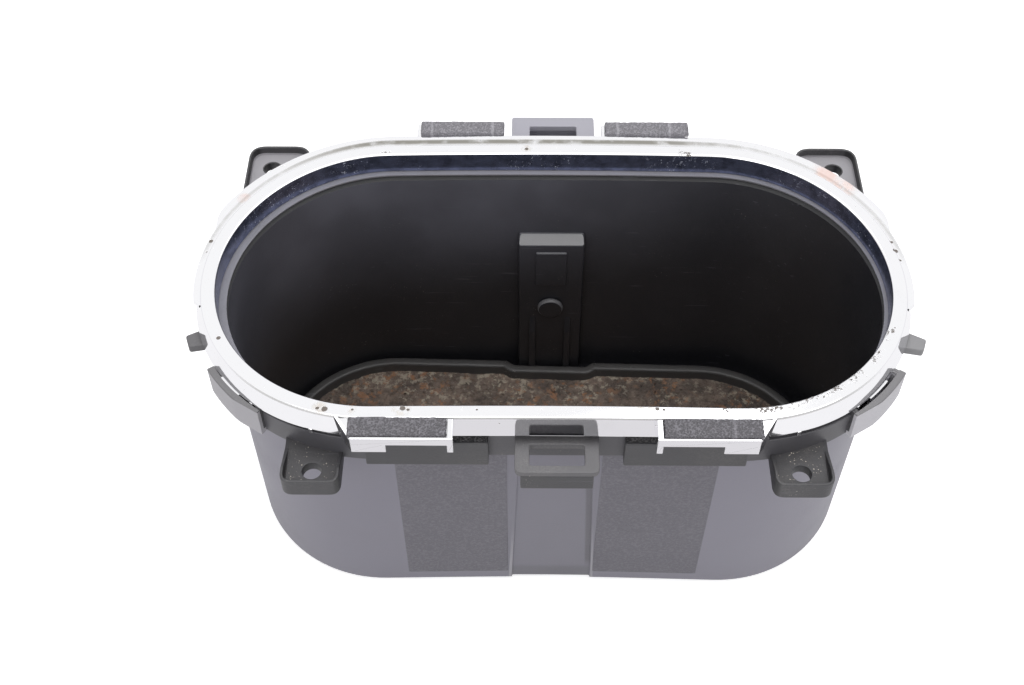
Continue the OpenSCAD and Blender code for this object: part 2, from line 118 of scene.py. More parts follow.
def rounded(points: list[tuple[float, float]], radius: float | list[float], steps: int = 6) -> Array:
    """Closed outline with each corner replaced by a curve.

    A corner P with tangent points A and C becomes (1-t)^2 A + 2t(1-t) P + t^2 C.

    Args:
        points: Corners, anticlockwise.
        radius: Rounding of every corner, or one value for each.
        steps: Points on each corner.

    Returns:
        The outline's points.
    """
    p = np.asarray(points, float)
    r = np.broadcast_to(np.asarray(radius, float), len(p))
    back, ahead = np.roll(p, 1, 0) - p, np.roll(p, -1, 0) - p
    lb, la = np.linalg.norm(back, axis=1), np.linalg.norm(ahead, axis=1)
    half = np.arccos(np.clip((back * ahead).sum(1) / (lb * la), -0.999, 0.999)) / 2
    cut = np.minimum(r / np.tan(half), 0.49 * np.minimum(lb, la))
    a, c = p + back * (cut / lb)[:, None], p + ahead * (cut / la)[:, None]
    t = np.linspace(0, 1, steps)[None, :, None]
    return ((1 - t) ** 2 * a[:, None] + 2 * t * (1 - t) * p[:, None] + t ** 2 * c[:, None]).reshape(-1, 2)


def oblong(x0: float, x1: float, y0: float, y1: float, radius: float | list[float],
           steps: int = 6) -> Array:
    """Anticlockwise rounded rectangle from x0 to x1 and from y0 to y1."""
    return rounded([(x0, y0), (x1, y0), (x1, y1), (x0, y1)], radius, steps)


def stacked(flat: Array, z: Array) -> Array:
    """Rows of plane points, each with its own third coordinate."""
    return np.concatenate([flat, np.broadcast_to(z.reshape(-1, 1, 1), flat.shape[:2] + (1,))], -1)


def outward(loop: Array) -> Array:
    """Unit normals of a closed anticlockwise outline: each chord past a point, turned clockwise."""
    chord = np.roll(loop, -1, 0) - np.roll(loop, 1, 0)
    n = np.stack([chord[:, 1], -chord[:, 0]], 1)
    return n / np.linalg.norm(n, axis=1)[:, None]


def quarter(radius: float, steps: int = 4) -> tuple[Array, Array]:
    """Inset and rise of a rounded edge: radius(1 - sin t) and radius(1 - cos t), t from 0 to 90 degrees."""
    t = np.linspace(0, math.pi / 2, steps)
    return radius * (1 - np.sin(t)), radius * (1 - np.cos(t))


class Shape:
    """Collects grids of points and flat caps, and makes them one object."""

    # The bin sits this much to the right in the ring, within their play
    SHIFT = 0.6

    def __init__(self) -> None:
        """Starts empty."""
        self.points: list[Array] = []
        self.faces: list[list[int]] = []
        self.skins: list[Array] = []
        self.count = 0

    def grid(self, p: Array, wrap_rows: bool = False, wrap_cols: bool = True,
             skin: int | Array = 0, caps: tuple[bool, bool] = (False, False)) -> None:
        """Adds quads between the rows and columns of a grid of points.

        Args:
            p: Points in millimetres, rows by columns by 3. Where the columns go anticlockwise
                and the rows go up, the faces point outwards.
            wrap_rows: Join the last row to the first.
            wrap_cols: Join the last column to the first.
            skin: Finish of every face, or one for each strip between two rows.
            caps: Close the first row, and the last.
        """
        rows, cols = p.shape[:2]
        index = self.count + np.arange(rows * cols).reshape(rows, cols)
        index = np.vstack([index, index[:1]]) if wrap_rows else index
        index = np.hstack([index, index[:, :1]]) if wrap_cols else index
        quads = np.stack([index[:-1, :-1], index[:-1, 1:], index[1:, 1:], index[1:, :-1]], -1)
        strips, across = quads.shape[:2]
        marks = np.repeat(np.broadcast_to(skin, strips), across)
        self.faces += quads.reshape(-1, 4).tolist()
        self.skins.append(marks)
        ends = [(caps[0], index[0, :cols][::-1], marks[0]), (caps[1], index[-1, :cols], marks[-1])]
        for wanted, ring, mark in ends:
            if wanted:
                self.faces.append(ring.tolist())
                self.skins.append(np.array([mark]))
        self.points.append(p.reshape(-1, 3))
        self.count += rows * cols

    def bend(self, change: Change) -> None:
        """Passes every point so far through a function of an array of points."""
        self.points = [change(np.vstack(self.points))]

    def mirrored(self) -> "Shape":
        """The same shape on the other side of X = 0, with its faces still outwards."""
        other = Shape()
        other.points = [np.vstack(self.points) * [-1, 1, 1]]
        other.faces = [face[::-1] for face in self.faces]
        other.skins, other.count = list(self.skins), self.count
        return other

    def join(self, other: "Shape") -> "Shape":
        """Adds another shape's points and faces."""
        self.faces += [[i + self.count for i in face] for face in other.faces]
        self.points += other.points
        self.skins += other.skins
        self.count += other.count
        return self

    def build(self, name: str, materials: list[Material], node: str, slot: str,
              sharp: float = 40) -> bpy.types.Object:
        """Makes the object, rides it on the root body and hides the solid that it takes the place of.

        Args:
            name: The piece's name.
            materials: Materials, in the order of the skins.
            node: The solid that the piece stands for.
            slot: Not used.
            sharp: Edges that turn by more than this many degrees stay sharp.

        Returns:
            The new object.
        """
        mesh = bpy.data.meshes.new(name)
        shift = self.SHIFT if node == "bin" or node.startswith("seal") else 0.0
        mesh.from_pydata(((np.vstack(self.points) + [shift, 0, 0]) * MM).tolist(), [], self.faces)
        for material in materials:
            mesh.materials.append(material)
        mesh.polygons.foreach_set("material_index", np.concatenate(self.skins).astype(np.int32))
        mesh.polygons.foreach_set("use_smooth", np.ones(len(self.faces), bool))
        mesh.update()
        mesh.set_sharp_from_angle(angle=math.radians(sharp))
        piece = bpy.data.objects.new(name, mesh)
        bpy.context.scene.collection.objects.link(piece)
        shading = piece.modifiers.new("shading", "WEIGHTED_NORMAL")
        shading.keep_sharp = True
        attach(piece, "root")
        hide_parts(node)
        LOG.info("%s: %d points, %d faces", name, self.count, len(self.faces))
        return piece


AXES = {"z": np.eye(3), "x": np.array([[0, 1, 0], [0, 0, 1], [1, 0, 0]]),
        "y": np.array([[1, 0, 0], [0, 0, 1], [0, -1, 0]])}


def prism(shape: Shape, loop: Array, w0: float, w1: float, bevel: float = 0.4, axis: str = "z",
          skin: int | Array = 0) -> None:
    """Adds an outline carried straight along an axis, with rounded end edges.

    Near an end the outline is drawn in by bevel(1 - sin t) at a distance of bevel(1 - cos t).

    Args:
        shape: Where the faces go.
        loop: Anticlockwise outline. Its plane is XY for z, YZ for x, and XZ for y.
        w0, w1: Ends along the axis; for y they count towards the front.
        bevel: Rounding of the end edges.
        axis: "x", "y" or "z".
        skin: Finish of every face, or one for each strip between two rows.
    """
    inset, rise = quarter(bevel)
    inset, w = np.concatenate([inset, inset[::-1]]), np.concatenate([w0 + rise, w1 - rise[::-1]])
    flat = loop[None] - inset[:, None, None] * outward(loop)[None]
    shape.grid(stacked(flat, w) @ AXES[axis], skin=skin, caps=(True, True))


def framed(shape: Shape, outer: Array, inner: Array, rows: list[tuple[float, float, float]],
           skin: int | Array = 0) -> None:
    """Adds a plate with one opening, as a closed band from outline to outline.

    A row (m, d, z) lies at height z and at (1-m) times the opening's outline grown by d plus
    m times the outer outline drawn in by d.

    Args:
        shape: Where the faces go.
        outer: Anticlockwise outline of the plate.
        inner: Outline of its opening, with as many points.
        rows: The rows, up the outside, over the top and down through the opening.
        skin: Finish of every face, or one for each strip between two rows.
    """
    m, d, z = np.array(rows).T[:, :, None, None]
    flat = (1 - m) * (inner + d * outward(inner)) + m * (outer - d * outward(outer))
    shape.grid(stacked(flat, z), wrap_rows=True, skin=skin)


@dataclass(frozen=True)
class Slot:
    """The slot outline that the whole insert follows, and the arch of its rim."""

    half: float = 47.35
    opening: float = 46.65
    top: float = 98.0
    arch_r: float = 1880.0
    floor_z: float = 2.5
    wall: float = 1.9
    mouth_r: float = 45.1
    side_taper: float = 4.4
    end_taper: float = 0.95
    mouth_z: float = 91.0

    def arch(self, x: Array) -> Array:
        """Drop of the rim at x: R - sqrt(R^2 - x^2)."""
        return self.arch_r - np.sqrt(self.arch_r ** 2 - x ** 2)

    def share(self, z: Array | float) -> Array:
        """How far z is from the floor to the mouth, as a share."""
        return (np.asarray(z, float) - self.floor_z) / (self.mouth_z - self.floor_z)

    def radius(self, z: Array | float) -> Array:
        """Radius of the cavity at z."""
        return self.mouth_r - self.side_taper * (1 - self.share(z))

    def spread(self, z: Array | float) -> Array:
        """Half spacing of the cavity's two end centres at z."""
        return self.half + (self.side_taper - self.end_taper) * (1 - self.share(z))

    def stations(self, arc: int = 56, extra: tuple[float, ...] = ()) -> tuple[Array, Array, Array]:
        """Places round the slot, anticlockwise from the front of the right end.

        Args:
            arc: Steps on each half circle.
            extra: More places on the straights, in millimetres from the middle.

        Returns:
            For each place x on the straights over the half spacing, and the normal's x and y.
        """
        t = np.radians(np.linspace(-90, 90, arc + 1))
        x = np.concatenate([np.linspace(-1, 1, 33), np.array(extra) / self.half])
        x = np.unique(np.round(x, 5))[1:-1]
        one, none = np.ones_like(t), np.zeros_like(x)
        a = np.concatenate([one, x[::-1], -one, x])
        nx = np.concatenate([np.cos(t), none, -np.cos(t), none])
        ny = np.concatenate([np.sin(t), none + 1, -np.sin(t), none - 1])
        return a, nx, ny

    def surface(self, rows: Array, stations: tuple[Array, Array, Array]) -> Array:
        """Points round the slot for rows of (half spacing, radius, z, share of the arch's drop).

        x = half * a, moved out towards the row's own spacing near the ends of the straights, plus
        radius times the normal; y is radius times the normal; z falls by the arch's drop at x.

        Args:
            rows: Half spacing, radius, z and share of the drop, for each row.
            stations: Places round the slot, as stations gives them.

        Returns:
            The points, rows by places by 3.
        """
        a, nx, ny = stations
        s, r, z, drop = (rows[:, k, None] for k in range(4))
        x = self.half * a + (s - self.half) * np.sign(a) * smooth(np.abs(a) * 5 - 4) + r * nx
        return np.stack([x, r * ny + 0 * x, z - drop * self.arch(x)], -1)

    def edge_y(self, x: Array, r: float) -> Array:
        """Half width of a slot of radius r at x."""
        past = np.maximum(np.abs(x) - self.half, 0)
        return np.sqrt(np.maximum(r * r - past * past, 0))


SLOT = Slot()
# Radius to which pieces on the collar are let in
TUCK = 47.6
# The front channel's edges lean out by LEAN from LEAN_Z down to the foot
LEAN, LEAN_Z = 1.2, 38.0


def spoke(angle: float, corners: tuple[tuple[float, float], ...]) -> list[Array]:
    """Plan places on and beside a line from the right end's centre towards the front.

    Args:
        angle: The line's angle from the X axis, in degrees.
        corners: Distance out and distance across, for each place.

    Returns:
        The places in the plan.
    """
    d = math.radians(angle)
    along, across = np.array([math.cos(d), -math.sin(d)]), np.array([math.sin(d), math.cos(d)])
    return [np.array([SLOT.half, 0]) + along * u + across * v for u, v in corners]


def tuck(reach: float) -> Change:
    """A change that keeps points from going further in than a slot of that radius."""
    def change(p: Array) -> Array:
        """Moves y out to the slot's edge where it lies inside it."""
        sign = np.where(p[:, 1:2] < 0, -1.0, 1.0)
        y = sign * np.maximum(np.abs(p[:, 1:2]), SLOT.edge_y(p[:, :1], reach))
        return np.hstack([p[:, :1], y, p[:, 2:]])
    return change


# Finishes


class Wiring:
    """Short hand for adding and joining the nodes of a tree."""

    def __init__(self, tree: bpy.types.NodeTree) -> None:
        """Keeps the tree."""
        self.tree = tree

    def give(self, socket: Socket, value: Value | Colour) -> None:
        """Links a socket to another, or sets its value; a colour gets its fourth part."""
        if isinstance(value, Socket):
            self.tree.links.new(value, socket)
        elif socket.type == "RGBA":
            socket.default_value = (*value[:3], 1.0)
        else:
            socket.default_value = value

    def add(self, kind: str, inputs: dict | None = None, **settings: str | bool) -> bpy.types.Node:
        """Adds a node.

        Args:
            kind: The node's type, without the words ShaderNode in front.
            inputs: Socket name or number to a value or to another node's output.
            **settings: Attributes of the node.

        Returns:
            The node.
        """
        node = self.tree.nodes.new("ShaderNode" + kind)
        for key, value in settings.items():
            setattr(node, key, value)
        for key, value in (inputs or {}).items():
            self.give(node.inputs[key], value)
        return node

    def math(self, operation: str, a: Value, b: Value = 0.0) -> Socket:
        """Output of a sum on one or two values."""
        return self.add("Math", {0: a, 1: b}, operation=operation).outputs[0]

    def times(self, first: Value, *others: Value) -> Value:
        """Product of two or more values."""
        for value in others:
            first = self.math("MULTIPLY", first, value)
        return first

    def plus(self, a: Value, b: Value) -> Socket:
        """Sum of two values."""
        return self.math("ADD", a, b)

    def less(self, a: Value, b: Value) -> Socket:
        """Difference of two values."""
        return self.math("SUBTRACT", a, b)

    def most(self, first: Value, *others: Value) -> Value:
        """The highest of several values."""
        for value in others:
            first = self.math("MAXIMUM", first, value)
        return first

    def mix(self, share: Value, a: Value | Colour, b: Value | Colour) -> Socket:
        """Colour a turning to b by share."""
        return self.add("Mix", {0: share, 6: a, 7: b}, data_type="RGBA").outputs[2]

    def tint(self, colour: Value | Colour, share: Value, strength: float, to: Colour) -> Socket:
        """Colour turned towards another one by a share of the strength."""
        return self.mix(self.times(share, strength), colour, to)


class Nodes(Wiring):
    """The wiring of one material."""

    def __init__(self, name: str) -> None:
        """Makes the material with its shader and object coordinates in millimetres."""
        self.material = bpy.data.materials.new(name)
        self.material.use_nodes = True
        super().__init__(self.material.node_tree)
        self.shader = self.tree.nodes["Principled BSDF"]
        coord = self.add("TexCoord").outputs["Object"]
        scale = self.add("VectorMath", {0: coord, 1: (1000.0, 1000.0, 1000.0)}, operation="MULTIPLY")
        self.place = scale.outputs[0]

    def noise(self, scale: float, detail: float = 3.0, rough: float = 0.6) -> Socket:
        """Noise from 0 to 1; scale counts features in a millimetre."""
        return self.add("TexNoise", {"Vector": self.place, "Scale": scale, "Detail": detail,
                                     "Roughness": rough}).outputs["Fac"]

    def cells(self, scale: float) -> bpy.types.Node:
        """Random cells; scale counts them in a millimetre."""
        return self.add("TexVoronoi", {"Vector": self.place, "Scale": scale, "Randomness": 1.0})

    def ramp(self, value: Value, lo: float, hi: float) -> Socket:
        """Value brought from lo..hi to 0..1, eased."""
        return self.add("MapRange", {"Value": value, "From Min": lo, "From Max": hi},
                        interpolation_type="SMOOTHSTEP").outputs["Result"]

    def axis(self, name: str) -> Socket:
        """One coordinate of the place, in millimetres."""
        if not hasattr(self, "split"):
            self.split = self.add("SeparateXYZ", {0: self.place})
        return self.split.outputs[name]

    def lane(self, value: Value, a: float, b: float, c: float, d: float) -> Socket:
        """A ramp up from a to b times a ramp down from d to c: 1 between b and c, 0 beyond a and d."""
        return self.times(self.ramp(value, a, b), self.ramp(value, d, c))

    def band(self, name: str, lo: float, hi: float, edge: float) -> Socket:
        """1 where a coordinate is between lo and hi, easing out over edge."""
        return self.lane(self.axis(name), lo - edge, lo + edge, hi - edge, hi + edge)

    def slot_radius(self) -> Socket:
        """Distance from the slot's middle line: sqrt(max(|x| - half, 0)^2 + y^2)."""
        past = self.most(self.less(self.math("ABSOLUTE", self.axis("X")), SLOT.half), 0.0)
        y = self.axis("Y")
        return self.math("SQRT", self.plus(self.times(past, past), self.times(y, y)))

    def spots(self, places: tuple[tuple[float, ...], ...]) -> Value:
        """1 at each of several places, easing to 0 at the radius that follows the place.

        Args:
            places: Rows of x, y, z and radius in millimetres.

        Returns:
            The highest of the spots.
        """
        each = []
        for *at, radius in places:
            gap = self.add("VectorMath", {0: self.place, 1: tuple(at)}, operation="DISTANCE")
            each.append(self.ramp(gap.outputs["Value"], radius, radius * 0.35))
        return self.most(*each)

    def bump(self, height: Value, distance: float) -> None:
        """Puts relief on the shader, after any that is there.

        Args:
            height: The relief, from 0 to 1.
            distance: Its depth in metres.
        """
        normal = self.shader.inputs["Normal"]
        inputs = {"Height": height, "Distance": distance, "Strength": 1.0}
        if normal.links:
            inputs["Normal"] = normal.links[0].from_socket
        self.give(normal, self.add("Bump", inputs).outputs[0])

    def wire(self, **sockets: Value | Colour) -> Material:
        """Sets the shader's sockets, by name with _ for a space, and gives the material."""
        for key, value in sockets.items():
            self.give(self.shader.inputs[key.replace("_", " ")], value)
        return self.material


@dataclass(frozen=True)
class BlackPlastic:
    """Moulded black plastic with fine grain, dust and pale scuffs."""

    name: str
    colour: Colour
    dust: Colour = (0.20, 0.19, 0.18)
    dust_share: float = 0.25
    speck_share: float = 0.5
    rough: float = 0.5
    grain: float = 0.00006
    panels: bool = False
    glow: bool = False
    crumbs: bool = False
    # Darker on the faces that look towards the bin's middle
    shaded: bool = False
    # Height above which the plastic is darker, where there is one
    rim: float = 0.0

    def make(self) -> Material:
        """Colour is the plastic with cloudy dust and specks on it; relief is grain, coarser on panels.

        With glow set, the plastic is painted paler towards the rim and the left: painted light where more
        light reaches the inside.

        Returns:
            The material.
        """
        n = Nodes(self.name)
        film = n.times(n.ramp(n.noise(0.05, 5, 0.65), 0.42, 0.72), n.ramp(n.noise(1.9, 2, 0.7), 0.3, 0.75))
        colour = n.tint(self.colour, film, self.dust_share, self.dust)
        size = n.times(n.ramp(n.noise(0.08, 3), 0.5, 0.75), 0.2)
        specks = n.math("LESS_THAN", n.cells(0.9).outputs["Distance"], size)
        colour = n.tint(colour, specks, self.speck_share, (0.55, 0.52, 0.47))
        drawn = n.add("VectorMath", {0: n.place, 1: (0.06, 1.1, 1.4)}, operation="MULTIPLY").outputs[0]
        scuff = n.add("TexNoise", {"Vector": drawn, "Scale": 1.0, "Detail": 3.0}).outputs["Fac"]
        colour = n.tint(colour, n.ramp(scuff, 0.68, 0.74), 0.18, (0.30, 0.30, 0.34))
        if self.crumbs:
            small = n.cells(1.7)
            many = n.times(n.ramp(n.noise(0.12, 3), 0.34, 0.6), 0.32)
            shade = n.add("SeparateColor", {0: small.outputs["Color"]}).outputs[0]
            grain = n.math("LESS_THAN", small.outputs["Distance"], n.times(many, shade))
            colour = n.tint(colour, grain, 0.85, (0.66, 0.60, 0.52))
        if self.shaded:
            facing = n.add("SeparateXYZ", {0: n.add("NewGeometry").outputs["Normal"]}).outputs[0]
            inward = n.ramp(n.times(facing, n.axis("X")), -15, -45)
            colour = n.tint(colour, inward, 0.85, (0.012, 0.012, 0.013))
        if self.rim:
            edge = n.ramp(n.axis("Z"), self.rim - 0.15, self.rim + 0.15)
            colour = n.tint(colour, edge, 0.9, (0.15, 0.147, 0.152))
        rough = n.plus(n.times(film, 0.2), self.rough)
        height = n.noise(2.2, 2, 0.8)
        if self.panels:
            inside, coarse = self.panel_mask(n), n.noise(1.1, 2, 0.85)
            height = n.plus(height, n.times(coarse, inside, 2.5))
            rough = n.plus(rough, n.times(inside, 0.12))
            colour = self.front_wall(n, colour, inside, coarse)
        if self.glow:
            # Painted light: paler towards the rim and the left, where more light reaches the inside
            cloudy = n.plus(0.65, n.times(n.ramp(n.noise(0.03, 3, 0.5), 0.35, 0.65), 0.35))
            lifted = n.less(n.axis("Z"), n.times(n.axis("X"), 0.16))
            high = n.times(n.ramp(lifted, 40, 92), n.ramp(n.axis("X"), 105, -20))
            colour = n.mix(n.times(high, cloudy), colour, (0.125, 0.125, 0.150))
        n.bump(height, self.grain)
        return n.wire(Base_Color=colour, Roughness=rough, Specular_IOR_Level=0.5)

    @staticmethod
    def panel_mask(n: Nodes) -> Socket:
        """1 on the two grained panels of the front wall, between their edges in x and z."""
        across = n.most(n.band("X", -43.1, -12.5, 0.15), n.band("X", 13.4, 45.3, 0.15))
        return n.times(across, n.band("Z", 5.5, 78.5, 0.15), n.ramp(n.axis("Y"), -36, -38))

    @staticmethod
    def front_wall(n: Nodes, colour: Value, inside: Value, coarse: Value) -> Socket:
        """Tones of the front wall: painted paler to the right where more light falls, dull from panel to
        panel, with a painted highlight on the channel's edges.

        Args:
            n: The material's wiring.
            colour: The wall's colour so far.
            inside: 1 on the grained panels.
            coarse: The panels' noise.

        Returns:
            The wall's colour with these tones.
        """
        front = n.ramp(n.axis("Y"), -36, -38)
        lean = n.times(n.less(1.0, n.math("DIVIDE", n.axis("Z"), LEAN_Z)), LEAN)
        left, right = n.plus(n.axis("X"), lean), n.less(n.axis("X"), lean)
        # The strip from panel to panel is duller, and darker still at the channel's foot
        strip = n.times(n.band("X", -12.6, 13.6, 0.2), front)
        foot = n.times(n.ramp(left, -10.4, -10.0), n.ramp(right, 11.8, 11.4), n.ramp(n.axis("Z"), 9, 6))
        shade = n.plus(n.times(strip, 0.6), n.times(foot, 0.9))
        # Painted light: the wall is paler to the right, where more light falls
        colour = n.tint(colour, n.ramp(n.axis("X"), 15, 95), 0.4, (0.32, 0.31, 0.365))
        colour = n.tint(colour, shade, 0.35, (0.09, 0.088, 0.10))
        colour = n.tint(colour, inside, 0.72, (0.097, 0.092, 0.108))
        # The groove on the right is in painted shade, and both edges get a painted highlight near the foot
        groove = n.times(n.lane(right, 9.8, 10.6, 11.8, 12.2), n.ramp(n.axis("Z"), 7, 13), front)
        colour = n.tint(colour, groove, 0.7, (0.095, 0.09, 0.105))
        # Painted highlight on both channel edges, not wear
        worn = n.most(n.lane(left, -11.4, -10.9, -10.5, -10.1), n.lane(right, 11.8, 12.1, 12.4, 12.8))
        worn = n.times(worn, n.ramp(n.axis("Z"), 40, 5), front)
        colour = n.tint(colour, worn, 0.6, (0.42, 0.41, 0.44))
        speckle = n.times(n.ramp(coarse, 0.42, 0.66), inside)
        return n.tint(colour, speckle, 0.55, (0.20, 0.195, 0.215))


@dataclass(frozen=True)
class PlatedTrim:
    """Bright plating with pits, rust stains, a dark line in its back edge and a painted reflection along
    its front crease.
    """

    name: str = "plated_trim"
    bright: Colour = (0.93, 0.93, 0.95)
    pit: Colour = (0.09, 0.066, 0.048)
    rust: Colour = (0.62, 0.30, 0.20)
    # How far the shading normal is brought down, for the skirt's slightly hollow front
    droop: float = 0.0
    # Places of single dark spots, of speckled patches and of rusted patches, each with its radius
    dots: tuple = ((-90.1, -23.2, 95.8, 0.9), (-59.2, -47.6, 97.1, 1.2), (-61.1, -47.3, 97.0, 0.7),
                   (-39.1, -47.6, 97.6, 1.1), (-37.6, -48.1, 97.6, 0.6), (26.2, -47.6, 97.8, 0.8),
                   (27.9, -47.8, 97.8, 0.6), (-7.5, 48.8, 98.0, 0.8), (-52.0, -47.9, 97.3, 0.5),
                   (97.2, 10.5, 95.5, 1.3), (96.6, 14.0, 95.5, 1.0), (98.0, 7.0, 95.4, 0.9),
                   (-97.6, 13.2, 95.5, 1.2), (-98.2, 9.0, 95.4, 0.8), (-20.0, -48.2, 97.9, 0.4))
    speckled: tuple = ((46.0, -46.8, 97.4, 6.0), (55.0, -46.2, 97.2, 9.0), (65.0, -43.8, 97.0, 9.0),
                       (72.0, -41.0, 96.7, 8.0), (80.0, -36.5, 96.4, 6.0), (86.0, -29.0, 96.2, 5.0),
                       (90.5, -21.0, 95.9, 4.0), (40.0, 49.0, 97.8, 5.0), (-50.0, 49.5, 97.4, 4.0))
    rusted: tuple = ((81.5, 41.0, 96.2, 6.0), (86.0, 36.0, 96.0, 5.0), (-90.2, 30.2, 95.9, 2.6))
    # Places where brown dirt is smeared on the band
    smudged: tuple = ((-39.5, -47.8, 97.6, 3.0), (-60.5, -47.2, 97.2, 2.6), (-52.5, -47.6, 97.4, 2.0),
                      (23.0, -47.8, 97.8, 3.5), (-7.5, 49.0, 98.0, 2.0))

    def make(self) -> Material:
        """Metal whose patches turn to dull pits and rust where fine noise is high.

        Returns:
            The material.
        """
        n = Nodes(self.name)
        fine, mid, wide = n.noise(1.3, 3, 0.7), n.noise(0.45, 4, 0.7), n.noise(0.16, 3, 0.6)
        r = n.slot_radius()
        near = n.times(n.spots(self.speckled), n.ramp(r, 50.2, 47.6))
        pits = n.ramp(n.plus(n.times(n.plus(fine, mid), 0.5), n.times(near, 0.16)), 0.65, 0.72)
        pits = n.most(pits, n.ramp(n.plus(n.spots(self.dots), n.times(fine, 0.9)), 0.8, 1.15))
        stain = n.times(n.spots(self.rusted), n.ramp(wide, 0.3, 0.6), n.ramp(r, 50.6, 51.4))
        haze = n.ramp(n.noise(0.12, 4, 0.6), 0.5, 0.8)
        colour = n.tint(self.bright, haze, 0.05, (0.62, 0.61, 0.61))
        # The front line is a painted reflection along the crease; the back line is a dark line between band
        # and ledge
        line = n.most(self.back_line(n, r, wide), self.front_line(n, r))
        colour = n.mix(line, colour, (0.25, 0.24, 0.215))
        colour = n.tint(colour, stain, 0.5, self.rust)
        smudge = n.times(n.spots(self.smudged), n.ramp(mid, 0.4, 0.6))
        colour = n.tint(colour, smudge, 0.6, (0.50, 0.44, 0.37))
        colour = n.tint(colour, pits, 0.9, self.pit)
        dull = n.most(pits, n.times(line, 0.9), n.times(stain, 0.7), n.times(smudge, 0.5))
        rough = n.plus(0.05, n.plus(n.times(haze, 0.04), n.times(dull, 0.5)))
        if self.droop:
            true = n.add("NewGeometry").outputs["Normal"]
            share = n.ramp(n.math("ABSOLUTE", n.axis("X")), 67, 50)
            down = n.add("CombineXYZ", {2: n.times(share, self.droop)}).outputs[0]
            lower = n.add("VectorMath", {0: true, 1: down}, operation="SUBTRACT").outputs[0]
            n.wire(Normal=n.add("VectorMath", {0: lower}, operation="NORMALIZE").outputs[0])
        n.bump(n.less(n.times(mid, 0.02), pits), 0.0001)
        return n.wire(Base_Color=colour, Metallic=n.less(1.0, dull), Roughness=rough)

    @staticmethod
    def back_line(n: Nodes, r: Value, wide: Value) -> Socket:
        """A dark line between band and ledge at the back: darkest and widest at mid length, with soft
        edges.

        Args:
            n: The material's wiring.
            r: Distance from the slot's middle line.
            wide: Noise that breaks the line up.

        Returns:
            The share of the dark line.
        """
        middle = n.ramp(n.math("ABSOLUTE", n.plus(n.axis("X"), 10.0)), 80, 40)
        outer = n.plus(52.1, n.times(middle, 0.9))
        lane = n.times(n.ramp(r, 50.9, 52.2), n.ramp(n.less(r, outer), 0.8, 0.1))
        broken = n.times(n.plus(0.4, n.times(middle, 0.6)), n.ramp(wide, 0.15, 0.5))
        return n.times(n.times(lane, broken), n.ramp(n.axis("Y"), 4, 14))

    @staticmethod
    def front_line(n: Nodes, r: Value) -> Socket:
        """A thin grey line along the front crease: a painted reflection on the crease."""
        return n.times(n.lane(r, 50.52, 50.62, 50.82, 50.92), n.times(n.ramp(n.axis("Y"), -30, -44), 0.45))


@dataclass(frozen=True)
class LipReflectionTrim:
    """The plated lip inside the opening: clouded, with a navy cast that is a painted reflection of the dark
    inside.
    """

    # Navy: a painted reflection of the dark inside
    colour: Colour = (0.24, 0.27, 0.42)

    def make(self) -> Material:
        """Partly metal, clouded by noise, with small pale flecks.

        Returns:
            The material.
        """
        n = Nodes("lip_reflection_trim")
        dark = tuple(0.5 * v for v in self.colour)
        colour = n.mix(n.ramp(n.noise(0.3, 4, 0.7), 0.35, 0.7), self.colour, dark)
        flecks = n.times(n.ramp(n.noise(1.1, 3, 0.75), 0.60, 0.68), n.ramp(n.noise(0.07, 2), 0.42, 0.6))
        colour = n.tint(colour, flecks, 0.7, (0.62, 0.64, 0.70))
        return n.wire(Base_Color=colour, Metallic=n.less(0.8, n.times(flecks, 0.8)), Roughness=0.22)


@dataclass(frozen=True)
class Foam:
    """Open-celled foam: dark cells in a grey web, with pale creases across it."""

    name: str
    web: Colour
    cell: Colour
    size: float = 2.1
    # Places of the creases along x
    creases: tuple[float, ...] = ()

    def make(self) -> Material:
        """Colour turns from cell to web with the distance from each cell's centre.

        Returns:
            The material.
        """
        n = Nodes(self.name)
        web = n.ramp(n.cells(self.size).outputs["Distance"], 0.25, 0.75)
        tone = n.times(web, n.ramp(n.noise(0.6, 4, 0.7), 0.2, 0.6))
        colour = n.mix(tone, self.cell, self.web)
        if self.creases:
            along = n.plus(n.axis("X"), n.times(n.less(n.noise(0.4, 2), 0.5), 0.9))
            gaps = [n.math("ABSOLUTE", n.less(along, at)) for at in self.creases]
            lines = n.most(*(n.ramp(gap, 0.6, 0.15) for gap in gaps))
            colour = n.tint(colour, lines, 0.3, tuple(min(1.0, 2.0 * v) for v in self.web))
        n.bump(web, 0.00018)
        return n.wire(Base_Color=colour, Roughness=0.95, Specular_IOR_Level=0.2)


@dataclass(frozen=True)
class MatDirt:
    """Brown rubber under caked, granular dirt with rusty and pale grains."""

    name: str
    rubber: Colour = (0.120, 0.098, 0.086)
    soil: Colour = (0.255, 0.195, 0.160)

    def make(self) -> Material:
        """Cloudy soil over rubber, then rusty and pale clumps where two noises are high.

        Returns:
            The material.
        """
        n = Nodes(self.name)
        colour = n.mix(n.ramp(n.noise(0.07, 5, 0.7), 0.36, 0.62), self.rubber, self.soil)
        colour = n.tint(colour, n.ramp(n.noise(0.6, 3, 0.75), 0.45, 0.7), 0.6, (0.060, 0.050, 0.043))
        rusty = n.times(n.ramp(n.noise(0.34, 4, 0.65), 0.52, 0.62), n.ramp(n.noise(0.05, 3), 0.42, 0.58))
        colour = n.tint(colour, rusty, 0.85, (0.36, 0.190, 0.110))
        more = n.plus(n.times(n.ramp(n.axis("Y"), 12, 34), 0.07), n.noise(0.42, 4, 0.7))
        pale = n.times(n.ramp(more, 0.56, 0.68), n.ramp(n.noise(0.09, 2), 0.36, 0.56))
        colour = n.tint(colour, pale, 0.75, (0.50, 0.44, 0.35))
        n.bump(n.less(n.noise(0.9, 4, 0.75), n.cells(0.85).outputs["Distance"]), 0.0006)
        return n.wire(Base_Color=colour, Roughness=0.9, Specular_IOR_Level=0.25)


# The bin


